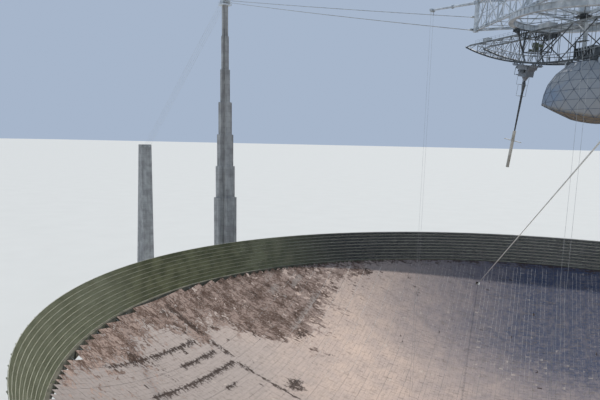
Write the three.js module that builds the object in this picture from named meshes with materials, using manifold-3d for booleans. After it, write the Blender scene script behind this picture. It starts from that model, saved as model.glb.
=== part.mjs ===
// A fixed spherical radio telescope as a 1:20 scale model: a bowl of panels in a leaning ground screen, and a
// triangular platform hung above it from three towers. Under the platform an arm turns on a ring, and
// carries a domed receiver house and a carriage house with a long line feed. Millimetres, +Z up, z = 0 on
// the ground, and the bowl's axis on x = y = 0. Sizes are in metres of the real telescope, multiplied by M.
import * as THREE from 'three';
import { mergeVertices } from 'three/addons/utils/BufferGeometryUtils.js';
import Module from 'manifold-3d';

const wasm = await Module();
wasm.setup();

// Driving dimensions, in metres of the real telescope
const SCALE = 20;
const M = 1000 / SCALE;
const TOUCH = 0.3 / M; // the small gap left between pieces that rest on each other
const RUNNING = 0.01; // between the wheels and the rails they run on

const SPHERE_RADIUS = 265.2;
const RIM_RADIUS = 152.4;
const BOWL_BOTTOM = 6;
const CENTRE_HEIGHT = BOWL_BOTTOM + SPHERE_RADIUS;
const RIM_HEIGHT = CENTRE_HEIGHT - Math.sqrt(SPHERE_RADIUS ** 2 - RIM_RADIUS ** 2);
const SHELL = 0.24;
const HUB_RADIUS = 1.2;
const SECTORS = 6;
const SECTOR_STEPS = 8;
const RING_STEPS = 8;

const SCREEN_FOOT = 153.4;
const SCREEN_TOP = 159.1;
const SCREEN_HEIGHT = 14.74;
const SCREEN_THICK = 0.2;
const SCREEN_BAYS = 8;
const SCREEN_ROWS = 2;
const SCREEN_POST = 0.5;

const RIM_BEAM_WIDTH = 2;
const RIM_BEAM_DEPTH = 3;
const RIM_COLUMN = 2.4;
const RIM_COLUMNS = 4;

const TOWER_RADIUS = 210.5;
const TOWER_AZIMUTHS = { a: 150, b: 270, c: 30 };
const TOWER_STEPS = [
  [-54.17, 12.4], [31.8, 10.4], [50.1, 8.8], [68.4, 7.2], [86.7, 5.18], [105, 3.99], [123.3, 3.27],
  [139.7, 0],
];
const CROSS_ARM = 0.42;
const HEAD_TOP = 143.1;

const PLATFORM_CORNER = 38.35;
const BOTTOM_CHORD = 104.3;
const TOP_CHORD = 113.5;
const CHORD = 0.8;
const POST = 0.8;
const SIDE_BAYS = 8;

const RING_RADIUS = 20.3;
const RING_WIDTH = 1.5;
const RING_BOTTOM = 102;

const BOOM_TIP = 58.4;
const BOOM_ROOT = 113.3;
const BOOM_HEIGHT = 113.9;
const BOOM_BLOCK = 0.35;
const TIEDOWN_SPREAD = 0.7;

const ANCHOR_RADIUS = 328;
const ANCHOR_TOP = 61;
const ANCHOR_HALF = 4;
const CABLE = 0.1; // radius
const MAIN_CABLE_LOW = 104.4;
const MAIN_CABLE_HIGH = 108.7;
const SADDLE = 141.3;
const SOCKET = 1.2; // the block that a group of cables ends in

const ARM_AZIMUTH = 134.5;
const ARM_HALF = 50.5;
const ARM_TRACK = 3.9;
const ARM_TOP = 101.1;
const ARM_TOP_HALF = 48;
const ARM_BAYS = 20;
const RAIL_RADIUS = 126.65;
const RAIL = 0.5;
const GIRDER_PLACE = 18.5;
const GIRDER_HALF = 9.4;
const GIRDER_BELLY = 100;
const GIRDER_WIDTH = 0.9;
const GIRDER_TOP = 101.7;

const DOME_ZENITH = 2.2;
const DOME_RADIUS = 13.1;
const DOME_CENTRE = 139.5;
const DOME_ROOF = 128;
const DOME_ROWS = [11.5, 8.55, 5.8, 3.05, 0.3, -2.45, -5.2, -7.95]; // heights of the rows of corners
const DOME_SIDES = 20;
const DOME_PHASE = [15, 6]; // degrees that the rows are turned by, in turn
const DOME_SKIN = 0.25;
const DOME_CUT_TILT = 14.6; // the plane that cuts off the sphere is lower on the side away from the feed
const DOME_CUT_DROP = 2.25;
const DOME_CAP = [[12.9, 0], [9.3, 1.25], [4.5, 2.8]]; // radius and depth under that plane, out to the mouth
const DOME_FRAME = 127.3;
const DOME_FRAME_LENGTH = 9;

const FEED_ZENITH = 9.8;
const FEED_FRAME = 127.2;
const FEED_FRAME_LENGTH = 2.8;
const FEED_FRAME_DEPTH = 0.6;
const HOUSE_MIDDLE = 128.8;
const HOUSE_BOTTOM = 131.1;
const HOUSE_OUTLINE = [
  [2.3, 127.6], [2.3, 128.8], [1.9, 128.8], [1.9, 131.1], [-1.9, 131.1], [-1.9, 129.35], [-3.2, 127.9],
  [-3.2, 127.6],
];
const HOUSE_HALF = 1.6;
const FEED_TOP = 132.4;
const FEED_SECTIONS = [[132.4, 0.25], [134.1, 0.62], [136, 0.38], [149.3, 0.24]]; // distance and radius
const FEED_CHANGE = 149.1;
const FEED_END = 161.7;
const FEED_BAR = 152.4;
const FEED_BAR_HALF = 4.07;

const up = (aboveRim) => (RIM_HEIGHT + aboveRim) * M;
const rad = THREE.MathUtils.degToRad;

const colours = {
  panels: [0x9a8f88, 0.75, 0.2],
  screen: [0x9a9a8a, 0.7, 0.4],
  concrete: [0xb5b2aa, 0.95, 0],
  steel: [0xbfc3c4, 0.6, 0.3],
  dark_steel: [0x6a6f72, 0.6, 0.4],
  cable: [0xc9cbc8, 0.5, 0.6],
  dome: [0xa9b2bb, 0.6, 0.2],
  feed: [0xcfc9bd, 0.6, 0.1],
};

const telescope = new THREE.Group();

// Solids and shapes

function solid(geometry) {
  const bare = geometry.clone();
  bare.deleteAttribute('normal');
  bare.deleteAttribute('uv');
  const merged = mergeVertices(bare, 1e-3);
  return new wasm.Manifold(new wasm.Mesh({
    numProp: 3,
    vertProperties: Float32Array.from(merged.attributes.position.array),
    triVerts: Uint32Array.from(merged.index.array),
  }));
}

function geometryOf(body) {
  const mesh = body.getMesh();
  const geometry = new THREE.BufferGeometry();
  geometry.setAttribute('position', new THREE.BufferAttribute(Float32Array.from(mesh.vertProperties), 3));
  geometry.setIndex(new THREE.BufferAttribute(Uint32Array.from(mesh.triVerts), 1));
  geometry.computeVertexNormals();
  return geometry;
}

function join(geometries) {
  return geometries.map(solid).reduce((whole, piece) => whole.add(piece));
}

function piece(parent, name, finish, body) {
  const geometry = body.isBufferGeometry ? body : geometryOf(body);
  const [color, roughness, metalness] = colours[finish];
  const mesh = new THREE.Mesh(geometry, new THREE.MeshStandardMaterial({ color, roughness, metalness }));
  mesh.name = name;
  parent.add(mesh);
  return mesh;
}

function turned(azimuth, parent = telescope) {
  const group = new THREE.Group();
  group.rotation.z = rad(azimuth);
  parent.add(group);
  return group;
}

// A point given in real metres: outward, sideways and above the rim
const at = (x, y, z) => new THREE.Vector3(x * M, y * M, up(z));

function along(geometry, start, end) {
  const direction = end.clone().sub(start).normalize();
  const reference = Math.abs(direction.z) > 0.95 ? new THREE.Vector3(1, 0, 0) : new THREE.Vector3(0, 0, 1);
  const side = new THREE.Vector3().crossVectors(reference, direction).normalize();
  const top = new THREE.Vector3().crossVectors(direction, side);
  const matrix = new THREE.Matrix4().makeBasis(side, top, direction);
  matrix.setPosition(start.clone().add(end).multiplyScalar(0.5));
  return geometry.applyMatrix4(matrix);
}

function bar(start, end, width, depth = width) {
  return along(new THREE.BoxGeometry(width * M, depth * M, start.distanceTo(end)), start, end);
}

function rod(start, end, radius, sides = 6, endRadius = radius) {
  const cylinder = new THREE.CylinderGeometry(endRadius * M, radius * M, start.distanceTo(end), sides);
  cylinder.rotateX(Math.PI / 2);
  return along(cylinder, start, end);
}

function block(low, high) {
  const size = high.clone().sub(low);
  const box = new THREE.BoxGeometry(size.x, size.y, size.z);
  return box.translate(...low.clone().add(high).multiplyScalar(0.5).toArray());
}

// A turned solid from an outline of radius and height, given anticlockwise
function lathe(profile, segments) {
  const points = profile.map(([r, z]) => new THREE.Vector2(r, z));
  return solid(new THREE.LatheGeometry(points, segments).rotateX(Math.PI / 2));
}

// A bent plate between two surfaces, each a function of two numbers from 0 to 1. Seen from the front, the
// second number runs a quarter turn anticlockwise of the first.
function plate(columns, rows, front, back) {
  const positions = [];
  const faces = [];
  const stride = columns + 1;
  const layer = stride * (rows + 1);
  for (const surface of [front, back]) {
    for (let j = 0; j <= rows; j += 1) {
      for (let i = 0; i <= columns; i += 1) {
        positions.push(...surface(i / columns, j / rows).toArray());
      }
    }
  }
  const quad = (a, b, c, d) => faces.push(a, b, c, a, c, d);
  for (let j = 0; j < rows; j += 1) {
    for (let i = 0; i < columns; i += 1) {
      const a = j * stride + i;
      quad(a, a + 1, a + 1 + stride, a + stride);
      quad(layer + a, layer + a + stride, layer + a + 1 + stride, layer + a + 1);
    }
  }
  for (let i = 0; i < columns; i += 1) {
    const far = rows * stride + i;
    quad(i, layer + i, layer + i + 1, i + 1);
    quad(far, far + 1, layer + far + 1, layer + far);
  }
  for (let j = 0; j < rows; j += 1) {
    const near = j * stride;
    const far = near + columns;
    quad(near, near + stride, layer + near + stride, layer + near);
    quad(far, layer + far, layer + far + stride, far + stride);
  }
  const geometry = new THREE.BufferGeometry();
  geometry.setAttribute('position', new THREE.BufferAttribute(new Float32Array(positions), 3));
  geometry.setIndex(faces);
  return geometry;
}

const polar = (radius, angle, z) => new THREE.Vector3(
  radius * M * Math.cos(angle), radius * M * Math.sin(angle), z * M,
);

// The bowl, its screen and what carries them, in six sectors

const sectorAngle = rad(360 / SECTORS);
const sectorGap = TOUCH / RIM_RADIUS;
const sphereHeight = (radius, offset) => (
  CENTRE_HEIGHT - Math.sqrt((SPHERE_RADIUS + offset) ** 2 - radius ** 2)
);

function sectorPlate(rows, steps, front, back) {
  const spread = (u) => sectorGap + (sectorAngle - 2 * sectorGap) * u;
  return plate(steps, rows, (u, v) => front(spread(u), v), (u, v) => back(spread(u), v));
}

function reflectorSector() {
  const radiusAt = (v) => THREE.MathUtils.lerp(HUB_RADIUS, RIM_RADIUS, v);
  return sectorPlate(
    RING_STEPS,
    SECTOR_STEPS,
    (angle, v) => polar(radiusAt(v), angle, sphereHeight(radiusAt(v), SHELL)),
    (angle, v) => polar(radiusAt(v), angle, sphereHeight(radiusAt(v), 0)),
  );
}

const beamFoot = RIM_RADIUS + TOUCH;
const columnCentre = beamFoot + RIM_BEAM_WIDTH / 2 + 0.5;

function groundScreen() {
  const slope = (SCREEN_TOP - SCREEN_FOOT) / SCREEN_HEIGHT;
  const foot = RIM_HEIGHT + TOUCH;
  const radiusAt = (v) => SCREEN_FOOT + slope * SCREEN_HEIGHT * v;
  const heightAt = (v) => foot + SCREEN_HEIGHT * v;
  let panel = solid(sectorPlate(
    1,
    SCREEN_BAYS,
    (angle, v) => polar(radiusAt(v) + SCREEN_THICK, angle, heightAt(v)),
    (angle, v) => polar(radiusAt(v), angle, heightAt(v)),
  ));
  const bay = sectorAngle / SCREEN_BAYS;
  const halfPost = SCREEN_POST / 2 / SCREEN_FOOT;
  const rail = SCREEN_POST / SCREEN_HEIGHT;
  const windows = [];
  for (let i = 0; i < SCREEN_BAYS; i += 1) {
    for (let j = 0; j < SCREEN_ROWS; j += 1) {
      const from = i * bay + halfPost;
      const sweep = bay - 2 * halfPost;
      const low = rail + (1 - rail) * (j / SCREEN_ROWS);
      const high = (1 - rail) * ((j + 1) / SCREEN_ROWS);
      const face = (shift) => (u, v) => {
        const share = THREE.MathUtils.lerp(low, high, v);
        return polar(radiusAt(share) + shift, from + sweep * u, heightAt(share));
      };
      windows.push(plate(1, 1, face(1), face(-1)));
    }
  }
  for (const window of windows) {
    panel = panel.subtract(solid(window));
  }
  return panel;
}

function rimFrame() {
  const top = RIM_HEIGHT;
  const beam = sectorPlate(
    1,
    SECTOR_STEPS,
    (angle, v) => polar(beamFoot, angle, top - RIM_BEAM_DEPTH * v),
    (angle, v) => polar(beamFoot + RIM_BEAM_WIDTH, angle, top - RIM_BEAM_DEPTH * v),
  );
  const parts = [beam];
  for (let k = 0; k < RIM_COLUMNS; k += 1) {
    const angle = (sectorAngle * (k + 0.5)) / RIM_COLUMNS;
    const column = new THREE.BoxGeometry(RIM_COLUMN * M, RIM_COLUMN * M, (top - 1) * M);
    column.translate(columnCentre * M, 0, ((top - 1) / 2) * M);
    parts.push(column.rotateZ(angle));
  }
  return join(parts);
}

function tiedownHole() {
  const centre = at(BOOM_TIP, 0, -45);
  return new THREE.BoxGeometry(1.2 * M, 3 * M, 12 * M).translate(centre.x, 0, centre.z);
}

// The guide cable runs from the near tower's face, over the bowl and down through it to a column of the rim
const GUIDE_TOWER = new THREE.Vector3(1.09, -206.9, 73.2);
const GUIDE_PANEL = new THREE.Vector3(-37.2, 131.4, -10.3);
const guideAt = (share) => {
  const point = GUIDE_TOWER.clone().lerp(GUIDE_PANEL, share);
  return at(point.x, point.y, point.z);
};
const GUIDE_COLUMN = rad(105);

for (let k = 0; k < SECTORS; k += 1) {
  const sector = turned((k * 360) / SECTORS);
  let reflector = solid(reflectorSector());
  if (k % 2 === 0) {
    reflector = reflector.subtract(solid(tiedownHole().rotateZ(sectorAngle / 2)));
  }
  if (k === 1) {
    const slot = rod(guideAt(0.97), guideAt(1.03), 0.3, 8).rotateZ(-sectorAngle);
    reflector = reflector.subtract(solid(slot));
  }
  piece(sector, `reflector_sector_${k + 1}`, 'panels', reflector);
  piece(sector, `ground_screen_${k + 1}`, 'screen', groundScreen());
  // Turned on by one facet, so that a column stands where the guide cable ends
  piece(turned((k + 1 / SECTOR_STEPS) * (360 / SECTORS)), `rim_frame_${k + 1}`, 'concrete', rimFrame());
}

const hubTop = sphereHeight(0, SHELL) - TOUCH;
const hubProfile = [[0, 0], [4, 0], [4, hubTop], [HUB_RADIUS - TOUCH * 2, hubTop],
  [HUB_RADIUS - TOUCH * 2, BOWL_BOTTOM], [0, BOWL_BOTTOM]];
piece(telescope, 'centre_foundation', 'concrete', lathe(hubProfile.map(([r, z]) => [r * M, z * M]), 16));

// Towers, cables and anchors, each built along +X and turned to its azimuth

function crossSection(width) {
  const w = (width / 2) * M;
  const t = w * CROSS_ARM;
  const shape = new THREE.Shape();
  const corners = [[w, -t], [w, t], [t, t], [t, w], [-t, w], [-t, t], [-w, t], [-w, -t], [-t, -t], [-t, -w],
    [t, -w], [t, -t]];
  corners.forEach(([x, y], i) => (i ? shape.lineTo(x, y) : shape.moveTo(x, y)));
  return shape;
}

function tower() {
  const sections = TOWER_STEPS.slice(0, -1).map(([low, width], i) => {
    const high = TOWER_STEPS[i + 1][0];
    const section = new THREE.ExtrudeGeometry(crossSection(width), {
      depth: (high - low) * M, bevelEnabled: false,
    });
    return section.translate(TOWER_RADIUS * M, 0, up(low));
  });
  return join(sections);
}

const towerTop = TOWER_STEPS.at(-1)[0];

function towerHead() {
  return join([
    block(at(TOWER_RADIUS - 2.8, -2.8, towerTop + TOUCH), at(TOWER_RADIUS + 2.8, 2.8, towerTop + 0.7)),
    block(at(TOWER_RADIUS - 1.6, -2.4, towerTop + 0.5), at(TOWER_RADIUS + 1.6, 2.4, HEAD_TOP)),
  ]);
}

const saddleInner = TOWER_RADIUS - 1.6 - TOUCH;
const saddleOuter = TOWER_RADIUS + 1.6 + TOUCH;
const cornerFace = PLATFORM_CORNER + POST + TOUCH;

function sagging(start, end, sag, radius, steps = 4) {
  const points = [];
  for (let i = 0; i <= steps; i += 1) {
    const share = i / steps;
    const point = start.clone().lerp(end, share);
    point.z -= 4 * sag * M * share * (1 - share);
    points.push(point);
  }
  const ring = new THREE.Shape();
  for (let i = 0; i < 6; i += 1) {
    const angle = (i * Math.PI) / 3;
    const spot = [radius * M * Math.cos(angle), radius * M * Math.sin(angle)];
    if (i) {
      ring.lineTo(...spot);
    } else {
      ring.moveTo(...spot);
    }
  }
  const path = new THREE.CatmullRomCurve3(points);
  return new THREE.ExtrudeGeometry(ring, { steps, extrudePath: path, bevelEnabled: false });
}

function mainCables() {
  const parts = [
    block(at(cornerFace, -1.5, MAIN_CABLE_LOW - 0.5), at(cornerFace + SOCKET, 1.5, MAIN_CABLE_LOW + 0.5)),
    block(at(cornerFace, -0.9, MAIN_CABLE_HIGH - 0.4), at(cornerFace + SOCKET, 0.9, MAIN_CABLE_HIGH + 0.4)),
    block(at(saddleInner - SOCKET, -2.2, SADDLE - 0.6), at(saddleInner, 2.2, SADDLE + 1.2)),
  ];
  const foot = cornerFace + SOCKET - 0.2;
  const head = saddleInner - SOCKET + 0.2;
  for (const y of [-1.05, -0.35, 0.35, 1.05]) {
    parts.push(sagging(at(foot, y, MAIN_CABLE_LOW), at(head, y * 1.2, SADDLE - 0.2), 0.45, CABLE));
  }
  for (const y of [-0.35, 0.35]) {
    parts.push(sagging(at(foot, y, MAIN_CABLE_HIGH), at(head, y * 3, SADDLE + 0.8), 0.3, CABLE));
  }
  return join(parts);
}

const anchorFace = ANCHOR_RADIUS - 2;

function backstays() {
  const low = ANCHOR_TOP - 1.4;
  const parts = [
    block(at(saddleOuter, -2.2, SADDLE - 0.6), at(saddleOuter + SOCKET, 2.2, SADDLE + 0.6)),
    block(at(anchorFace - SOCKET - TOUCH, -2.6, low - 0.8), at(anchorFace - TOUCH, 2.6, low + 0.8)),
  ];
  for (let i = -3; i <= 3; i += 1) {
    const start = at(saddleOuter + SOCKET - 0.2, i * 0.58, SADDLE);
    parts.push(rod(start, at(anchorFace - SOCKET + 0.2, i * 0.75, low), CABLE));
  }
  return join(parts);
}

function anchorPier() {
  const ground = -RIM_HEIGHT;
  const outline = new THREE.Shape();
  const corners = [[anchorFace, ground], [ANCHOR_RADIUS + 14, ground], [ANCHOR_RADIUS + 3, ANCHOR_TOP],
    [anchorFace, ANCHOR_TOP]];
  corners.forEach(([x, z], i) => (i ? outline.lineTo(x * M, up(z)) : outline.moveTo(x * M, up(z))));
  const pier = new THREE.ExtrudeGeometry(outline, { depth: 2 * ANCHOR_HALF * M, bevelEnabled: false });
  return solid(pier.rotateX(Math.PI / 2).translate(0, ANCHOR_HALF * M, 0));
}

function tiedownBoom() {
  const root = PLATFORM_CORNER + POST + TOUCH;
  const start = at(root + 0.2, 0, BOOM_ROOT);
  const end = at(BOOM_TIP, 0, BOOM_HEIGHT);
  return join([
    block(at(root, -0.7, BOOM_ROOT - 0.6), at(root + 0.4, 0.7, BOOM_ROOT + 0.6)),
    rod(start, end, 0.5, 8, 0.3),
    rod(start.clone().lerp(end, 0.49), start.clone().lerp(end, 0.52), 0.7, 8),
    block(at(BOOM_TIP - 0.6, -1, BOOM_HEIGHT - BOOM_BLOCK), at(BOOM_TIP + 0.6, 1, BOOM_HEIGHT + BOOM_BLOCK)),
  ]);
}

function tiedownCables() {
  const top = BOOM_HEIGHT - BOOM_BLOCK - TOUCH;
  const ground = -RIM_HEIGHT;
  const parts = [
    block(at(BOOM_TIP - 0.4, -1, top - 0.4), at(BOOM_TIP + 0.4, 1, top)),
    block(at(BOOM_TIP - 1.5, -2, ground), at(BOOM_TIP + 1.5, 2, ground + 2)),
  ];
  for (const y of [-TIEDOWN_SPREAD, TIEDOWN_SPREAD]) {
    parts.push(rod(at(BOOM_TIP, y, ground + 1), at(BOOM_TIP, y, top - 0.2), 0.05));
  }
  return join(parts);
}

for (const [letter, azimuth] of Object.entries(TOWER_AZIMUTHS)) {
  const spoke = turned(azimuth);
  piece(spoke, `tower_${letter}`, 'concrete', tower());
  piece(spoke, `tower_head_${letter}`, 'steel', towerHead());
  piece(spoke, `main_cables_${letter}`, 'cable', mainCables());
  piece(spoke, `backstays_${letter}`, 'cable', backstays());
  piece(spoke, `anchor_pier_${letter}`, 'concrete', anchorPier());
  piece(spoke, `tiedown_boom_${letter}`, 'steel', tiedownBoom());
  piece(spoke, `tiedown_cables_${letter}`, 'cable', tiedownCables());
}

// Platform: three side trusses, each with the post of one corner, an inner frame and the ring below

const inradius = PLATFORM_CORNER / 2;
const halfSide = PLATFORM_CORNER * Math.sin(rad(60));

function platformSide() {
  const start = -halfSide;
  const end = halfSide - POST - TOUCH;
  const postRadius = (POST / Math.cos(Math.PI / 12)) * M;
  const post = new THREE.CylinderGeometry(postRadius, postRadius, (TOP_CHORD - BOTTOM_CHORD + 1.2) * M, 12);
  post.rotateX(Math.PI / 2).rotateZ(Math.PI / 12);
  post.translate(inradius * M, start * M, up((TOP_CHORD + BOTTOM_CHORD) / 2));
  const parts = [
    post,
    bar(at(inradius, start, BOTTOM_CHORD), at(inradius, end, BOTTOM_CHORD), CHORD),
    bar(at(inradius, start, TOP_CHORD), at(inradius, end, TOP_CHORD), CHORD),
  ];
  const step = (2 * halfSide) / SIDE_BAYS;
  for (let i = 0; i < SIDE_BAYS; i += 1) {
    const y = start + i * step;
    const last = i === SIDE_BAYS - 1;
    if (i > 0) {
      parts.push(bar(at(inradius, y, BOTTOM_CHORD), at(inradius, y, TOP_CHORD), 0.45));
    }
    const lowEnd = i % 2 === 0;
    const far = last ? end - 0.6 : y + step;
    parts.push(bar(
      at(inradius, y, lowEnd ? BOTTOM_CHORD : TOP_CHORD),
      at(inradius, far, lowEnd ? TOP_CHORD : BOTTOM_CHORD),
      0.36,
    ));
  }
  return join(parts);
}

['ab', 'bc', 'ca'].forEach((sides, i) => {
  piece(turned(210 + 120 * i), `platform_side_${sides}`, 'steel', platformSide());
});

function innerFrame() {
  const reach = inradius - CHORD / 2 - TOUCH;
  const corners = [90, 210, 330].map((azimuth) => rad(azimuth));
  const point = (angle, z, radius) => at(radius * Math.cos(angle), radius * Math.sin(angle), z);
  const parts = [];
  corners.forEach((angle, i) => {
    const next = corners[(i + 1) % 3];
    const inner = reach - 0.9;
    for (const z of [BOTTOM_CHORD, TOP_CHORD]) {
      const pad = bar(point(angle, z, reach - 1.6), point(angle, z, reach), 1.4, 0.7);
      parts.push(pad, bar(point(angle, z, inner), point(next, z, inner), 0.5));
    }
    parts.push(bar(point(angle, BOTTOM_CHORD, inner), point(angle, TOP_CHORD, inner), 0.6));
    parts.push(bar(point(angle, BOTTOM_CHORD, inner), point(next, TOP_CHORD, inner), 0.3));
  });
  return join(parts);
}

piece(telescope, 'platform_inner_frame', 'steel', innerFrame());

function ringGirder() {
  const top = BOTTOM_CHORD - CHORD / 2 - TOUCH;
  const inner = RING_RADIUS - RING_WIDTH / 2;
  const outer = RING_RADIUS + RING_WIDTH / 2;
  const low = RING_BOTTOM;
  const profile = [[inner, low], [outer, low], [outer, top], [inner, top], [inner, low]];
  return lathe(profile.map(([r, z]) => [r * M, up(z)]), 32);
}

piece(telescope, 'azimuth_ring', 'steel', ringGirder());

// The turning arm, with +X towards the carriage house

const arm = turned(ARM_AZIMUTH);
const railHeight = (x) => CENTRE_HEIGHT - RIM_HEIGHT - Math.sqrt(RAIL_RADIUS ** 2 - x ** 2);

function armRail(y) {
  const reach = Math.asin(ARM_HALF / RAIL_RADIUS);
  const count = 32;
  const lower = [];
  const upper = [];
  for (let i = 0; i <= count; i += 1) {
    const angle = reach * ((2 * i) / count - 1);
    const spot = (radius) => [radius * Math.sin(angle) * M, (CENTRE_HEIGHT - radius * Math.cos(angle)) * M];
    lower.push(spot(RAIL_RADIUS + RAIL / 2));
    upper.unshift(spot(RAIL_RADIUS - RAIL / 2));
  }
  const shape = new THREE.Shape();
  [...lower, ...upper].forEach(([x, z], i) => (i ? shape.lineTo(x, z) : shape.moveTo(x, z)));
  const rail = new THREE.ExtrudeGeometry(shape, { depth: RAIL * M, bevelEnabled: false });
  return rail.rotateX(Math.PI / 2).translate(0, (y + RAIL / 2) * M, 0);
}

function armTruss(side) {
  const y = side * ARM_TRACK;
  const railPoint = (x) => at(x, y, railHeight(x));
  const topPoint = (x) => at(x, y, ARM_TOP);
  const parts = [armRail(y), bar(topPoint(-ARM_TOP_HALF), topPoint(ARM_TOP_HALF), RAIL)];
  for (const end of [-1, 1]) {
    parts.push(bar(topPoint(end * ARM_TOP_HALF), railPoint(end * (ARM_HALF - 0.4)), 0.4));
  }
  const step = (2 * ARM_TOP_HALF) / ARM_BAYS;
  for (let i = 0; i <= ARM_BAYS; i += 1) {
    const x = -ARM_TOP_HALF + i * step;
    parts.push(bar(railPoint(x), topPoint(x), 0.3));
    if (i < ARM_BAYS) {
      const falling = i < ARM_BAYS / 2;
      const start = falling ? topPoint(x) : railPoint(x);
      parts.push(bar(start, falling ? railPoint(x + step) : topPoint(x + step), 0.25));
    }
  }
  return join(parts);
}

piece(arm, 'arm_truss_left', 'steel', armTruss(1));
piece(arm, 'arm_truss_right', 'steel', armTruss(-1));

// A girder with a deep belly runs across the arm, over its top chords, and rolls on the ring at both ends
function crossGirder(place) {
  const slot = RAIL / 2 + TOUCH;
  const over = ARM_TOP + slot;
  const half = [[ARM_TRACK - slot, GIRDER_BELLY], [ARM_TRACK - slot, over], [ARM_TRACK + slot, over],
    [ARM_TRACK + slot, GIRDER_BELLY], [GIRDER_HALF, GIRDER_TOP - 0.5], [GIRDER_HALF, GIRDER_TOP]];
  const outline = [...half, ...half.map(([y, z]) => [-y, z]).reverse()];
  const shape = new THREE.Shape();
  outline.forEach(([y, z], i) => (i ? shape.lineTo(y * M, up(z)) : shape.moveTo(y * M, up(z))));
  const girder = new THREE.ExtrudeGeometry(shape, { depth: GIRDER_WIDTH * M, bevelEnabled: false });
  girder.rotateX(Math.PI / 2).rotateZ(Math.PI / 2).translate((place - GIRDER_WIDTH / 2) * M, 0, 0);
  const wheel = Math.sqrt(RING_RADIUS ** 2 - place ** 2);
  const low = GIRDER_TOP - 0.1;
  const trolleys = [-wheel, wheel].map((y) => (
    block(at(place - 0.8, y - 0.8, low), at(place + 0.8, y + 0.8, RING_BOTTOM - RUNNING))
  ));
  return [girder, ...trolleys];
}

function armCrossFrames() {
  const reach = 39;
  const y = ARM_TRACK - RAIL / 2 - TOUCH - 0.2;
  const spacing = (4 * ARM_TOP_HALF) / ARM_BAYS;
  const parts = [
    ...crossGirder(-GIRDER_PLACE),
    ...crossGirder(GIRDER_PLACE),
    // The drive shed, inside the ring on the girder next to the line feed
    block(at(GIRDER_PLACE - 1.9, -6, GIRDER_TOP - 0.3), at(GIRDER_PLACE - 0.1, 0.4, BOTTOM_CHORD - 0.9)),
  ];
  for (const side of [-1, 1]) {
    parts.push(bar(at(-reach, side * y, ARM_TOP), at(reach, side * y, ARM_TOP), 0.4));
  }
  for (let i = -4; i <= 4; i += 1) {
    const x = i * spacing;
    const low = railHeight(x) + 0.1;
    parts.push(bar(at(x, -y, ARM_TOP), at(x, y, ARM_TOP), 0.36));
    parts.push(bar(at(x, -y, low), at(x, y, low), 0.36));
    parts.push(bar(at(x, -y, low), at(x, -y, ARM_TOP), 0.36));
    parts.push(bar(at(x, y, low), at(x, y, ARM_TOP), 0.36));
    parts.push(bar(at(x, -y, low), at(x, y, ARM_TOP), 0.24));
  }
  return join(parts);
}

piece(arm, 'arm_cross_frames', 'steel', armCrossFrames());

// What hangs from the arm's curved rails turns about the sphere's centre

function carriage(zenith, direction) {
  const pivot = new THREE.Group();
  pivot.position.z = CENTRE_HEIGHT * M;
  pivot.rotation.y = rad(-zenith * direction);
  arm.add(pivot);
  return pivot;
}

const below = (x, y, distance) => new THREE.Vector3(x * M, y * M, -distance * M);
const wheelTop = RAIL_RADIUS + RAIL / 2 + RUNNING;

function wheels(length) {
  const parts = [];
  const half = 0.3;
  const level = Math.sqrt(wheelTop ** 2 - (length / 2 - half) ** 2);
  for (const x of [-length / 2, length / 2]) {
    for (const y of [-ARM_TRACK, ARM_TRACK]) {
      parts.push(block(below(x - half, y - half, level + 0.8), below(x + half, y + half, level)));
    }
  }
  return parts;
}

function frameUnder(length, level, depth) {
  const parts = wheels(length);
  const low = level + depth;
  for (const y of [-ARM_TRACK, ARM_TRACK]) {
    parts.push(block(below(-length / 2 - 0.7, y - 0.35, low), below(length / 2 + 0.7, y + 0.35, level)));
  }
  for (const x of [-length / 2, 0, length / 2]) {
    parts.push(block(below(x - 0.3, -ARM_TRACK, low), below(x + 0.3, ARM_TRACK, level + 0.1)));
  }
  return parts;
}

const dome = carriage(DOME_ZENITH, -1);
const domeFrame = frameUnder(DOME_FRAME_LENGTH, DOME_FRAME, DOME_ROOF - DOME_FRAME - TOUCH);
piece(dome, 'dome_carriage', 'dark_steel', join(domeFrame));

// The hull of rows of corners, where a row is a radius and a height
function facetted(rows) {
  const corners = [];
  rows.forEach(([radius, height], j) => {
    for (let k = 0; k < DOME_SIDES; k += 1) {
      const angle = (2 * Math.PI * k) / DOME_SIDES + rad(DOME_PHASE[j % 2]);
      corners.push([radius * M * Math.cos(angle), radius * M * Math.sin(angle), height * M]);
    }
  });
  return wasm.Manifold.hull(corners);
}

const cutTilt = rad(DOME_CUT_TILT);
const cutNormal = [-Math.sin(cutTilt), 0, Math.cos(cutTilt)];
const cutOffset = -(DOME_CENTRE + DOME_CUT_DROP) * Math.cos(cutTilt);

function domeUpper() {
  const ball = (radius) => facetted(DOME_ROWS.map((height) => {
    const level = Math.min(height, DOME_CENTRE - DOME_ROOF - (DOME_RADIUS - radius));
    return [Math.sqrt(radius ** 2 - level ** 2), level - DOME_CENTRE];
  }));
  const outer = ball(DOME_RADIUS);
  const inner = ball(DOME_RADIUS - DOME_SKIN);
  return outer.trimByPlane(cutNormal, cutOffset * M).subtract(inner);
}

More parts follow.
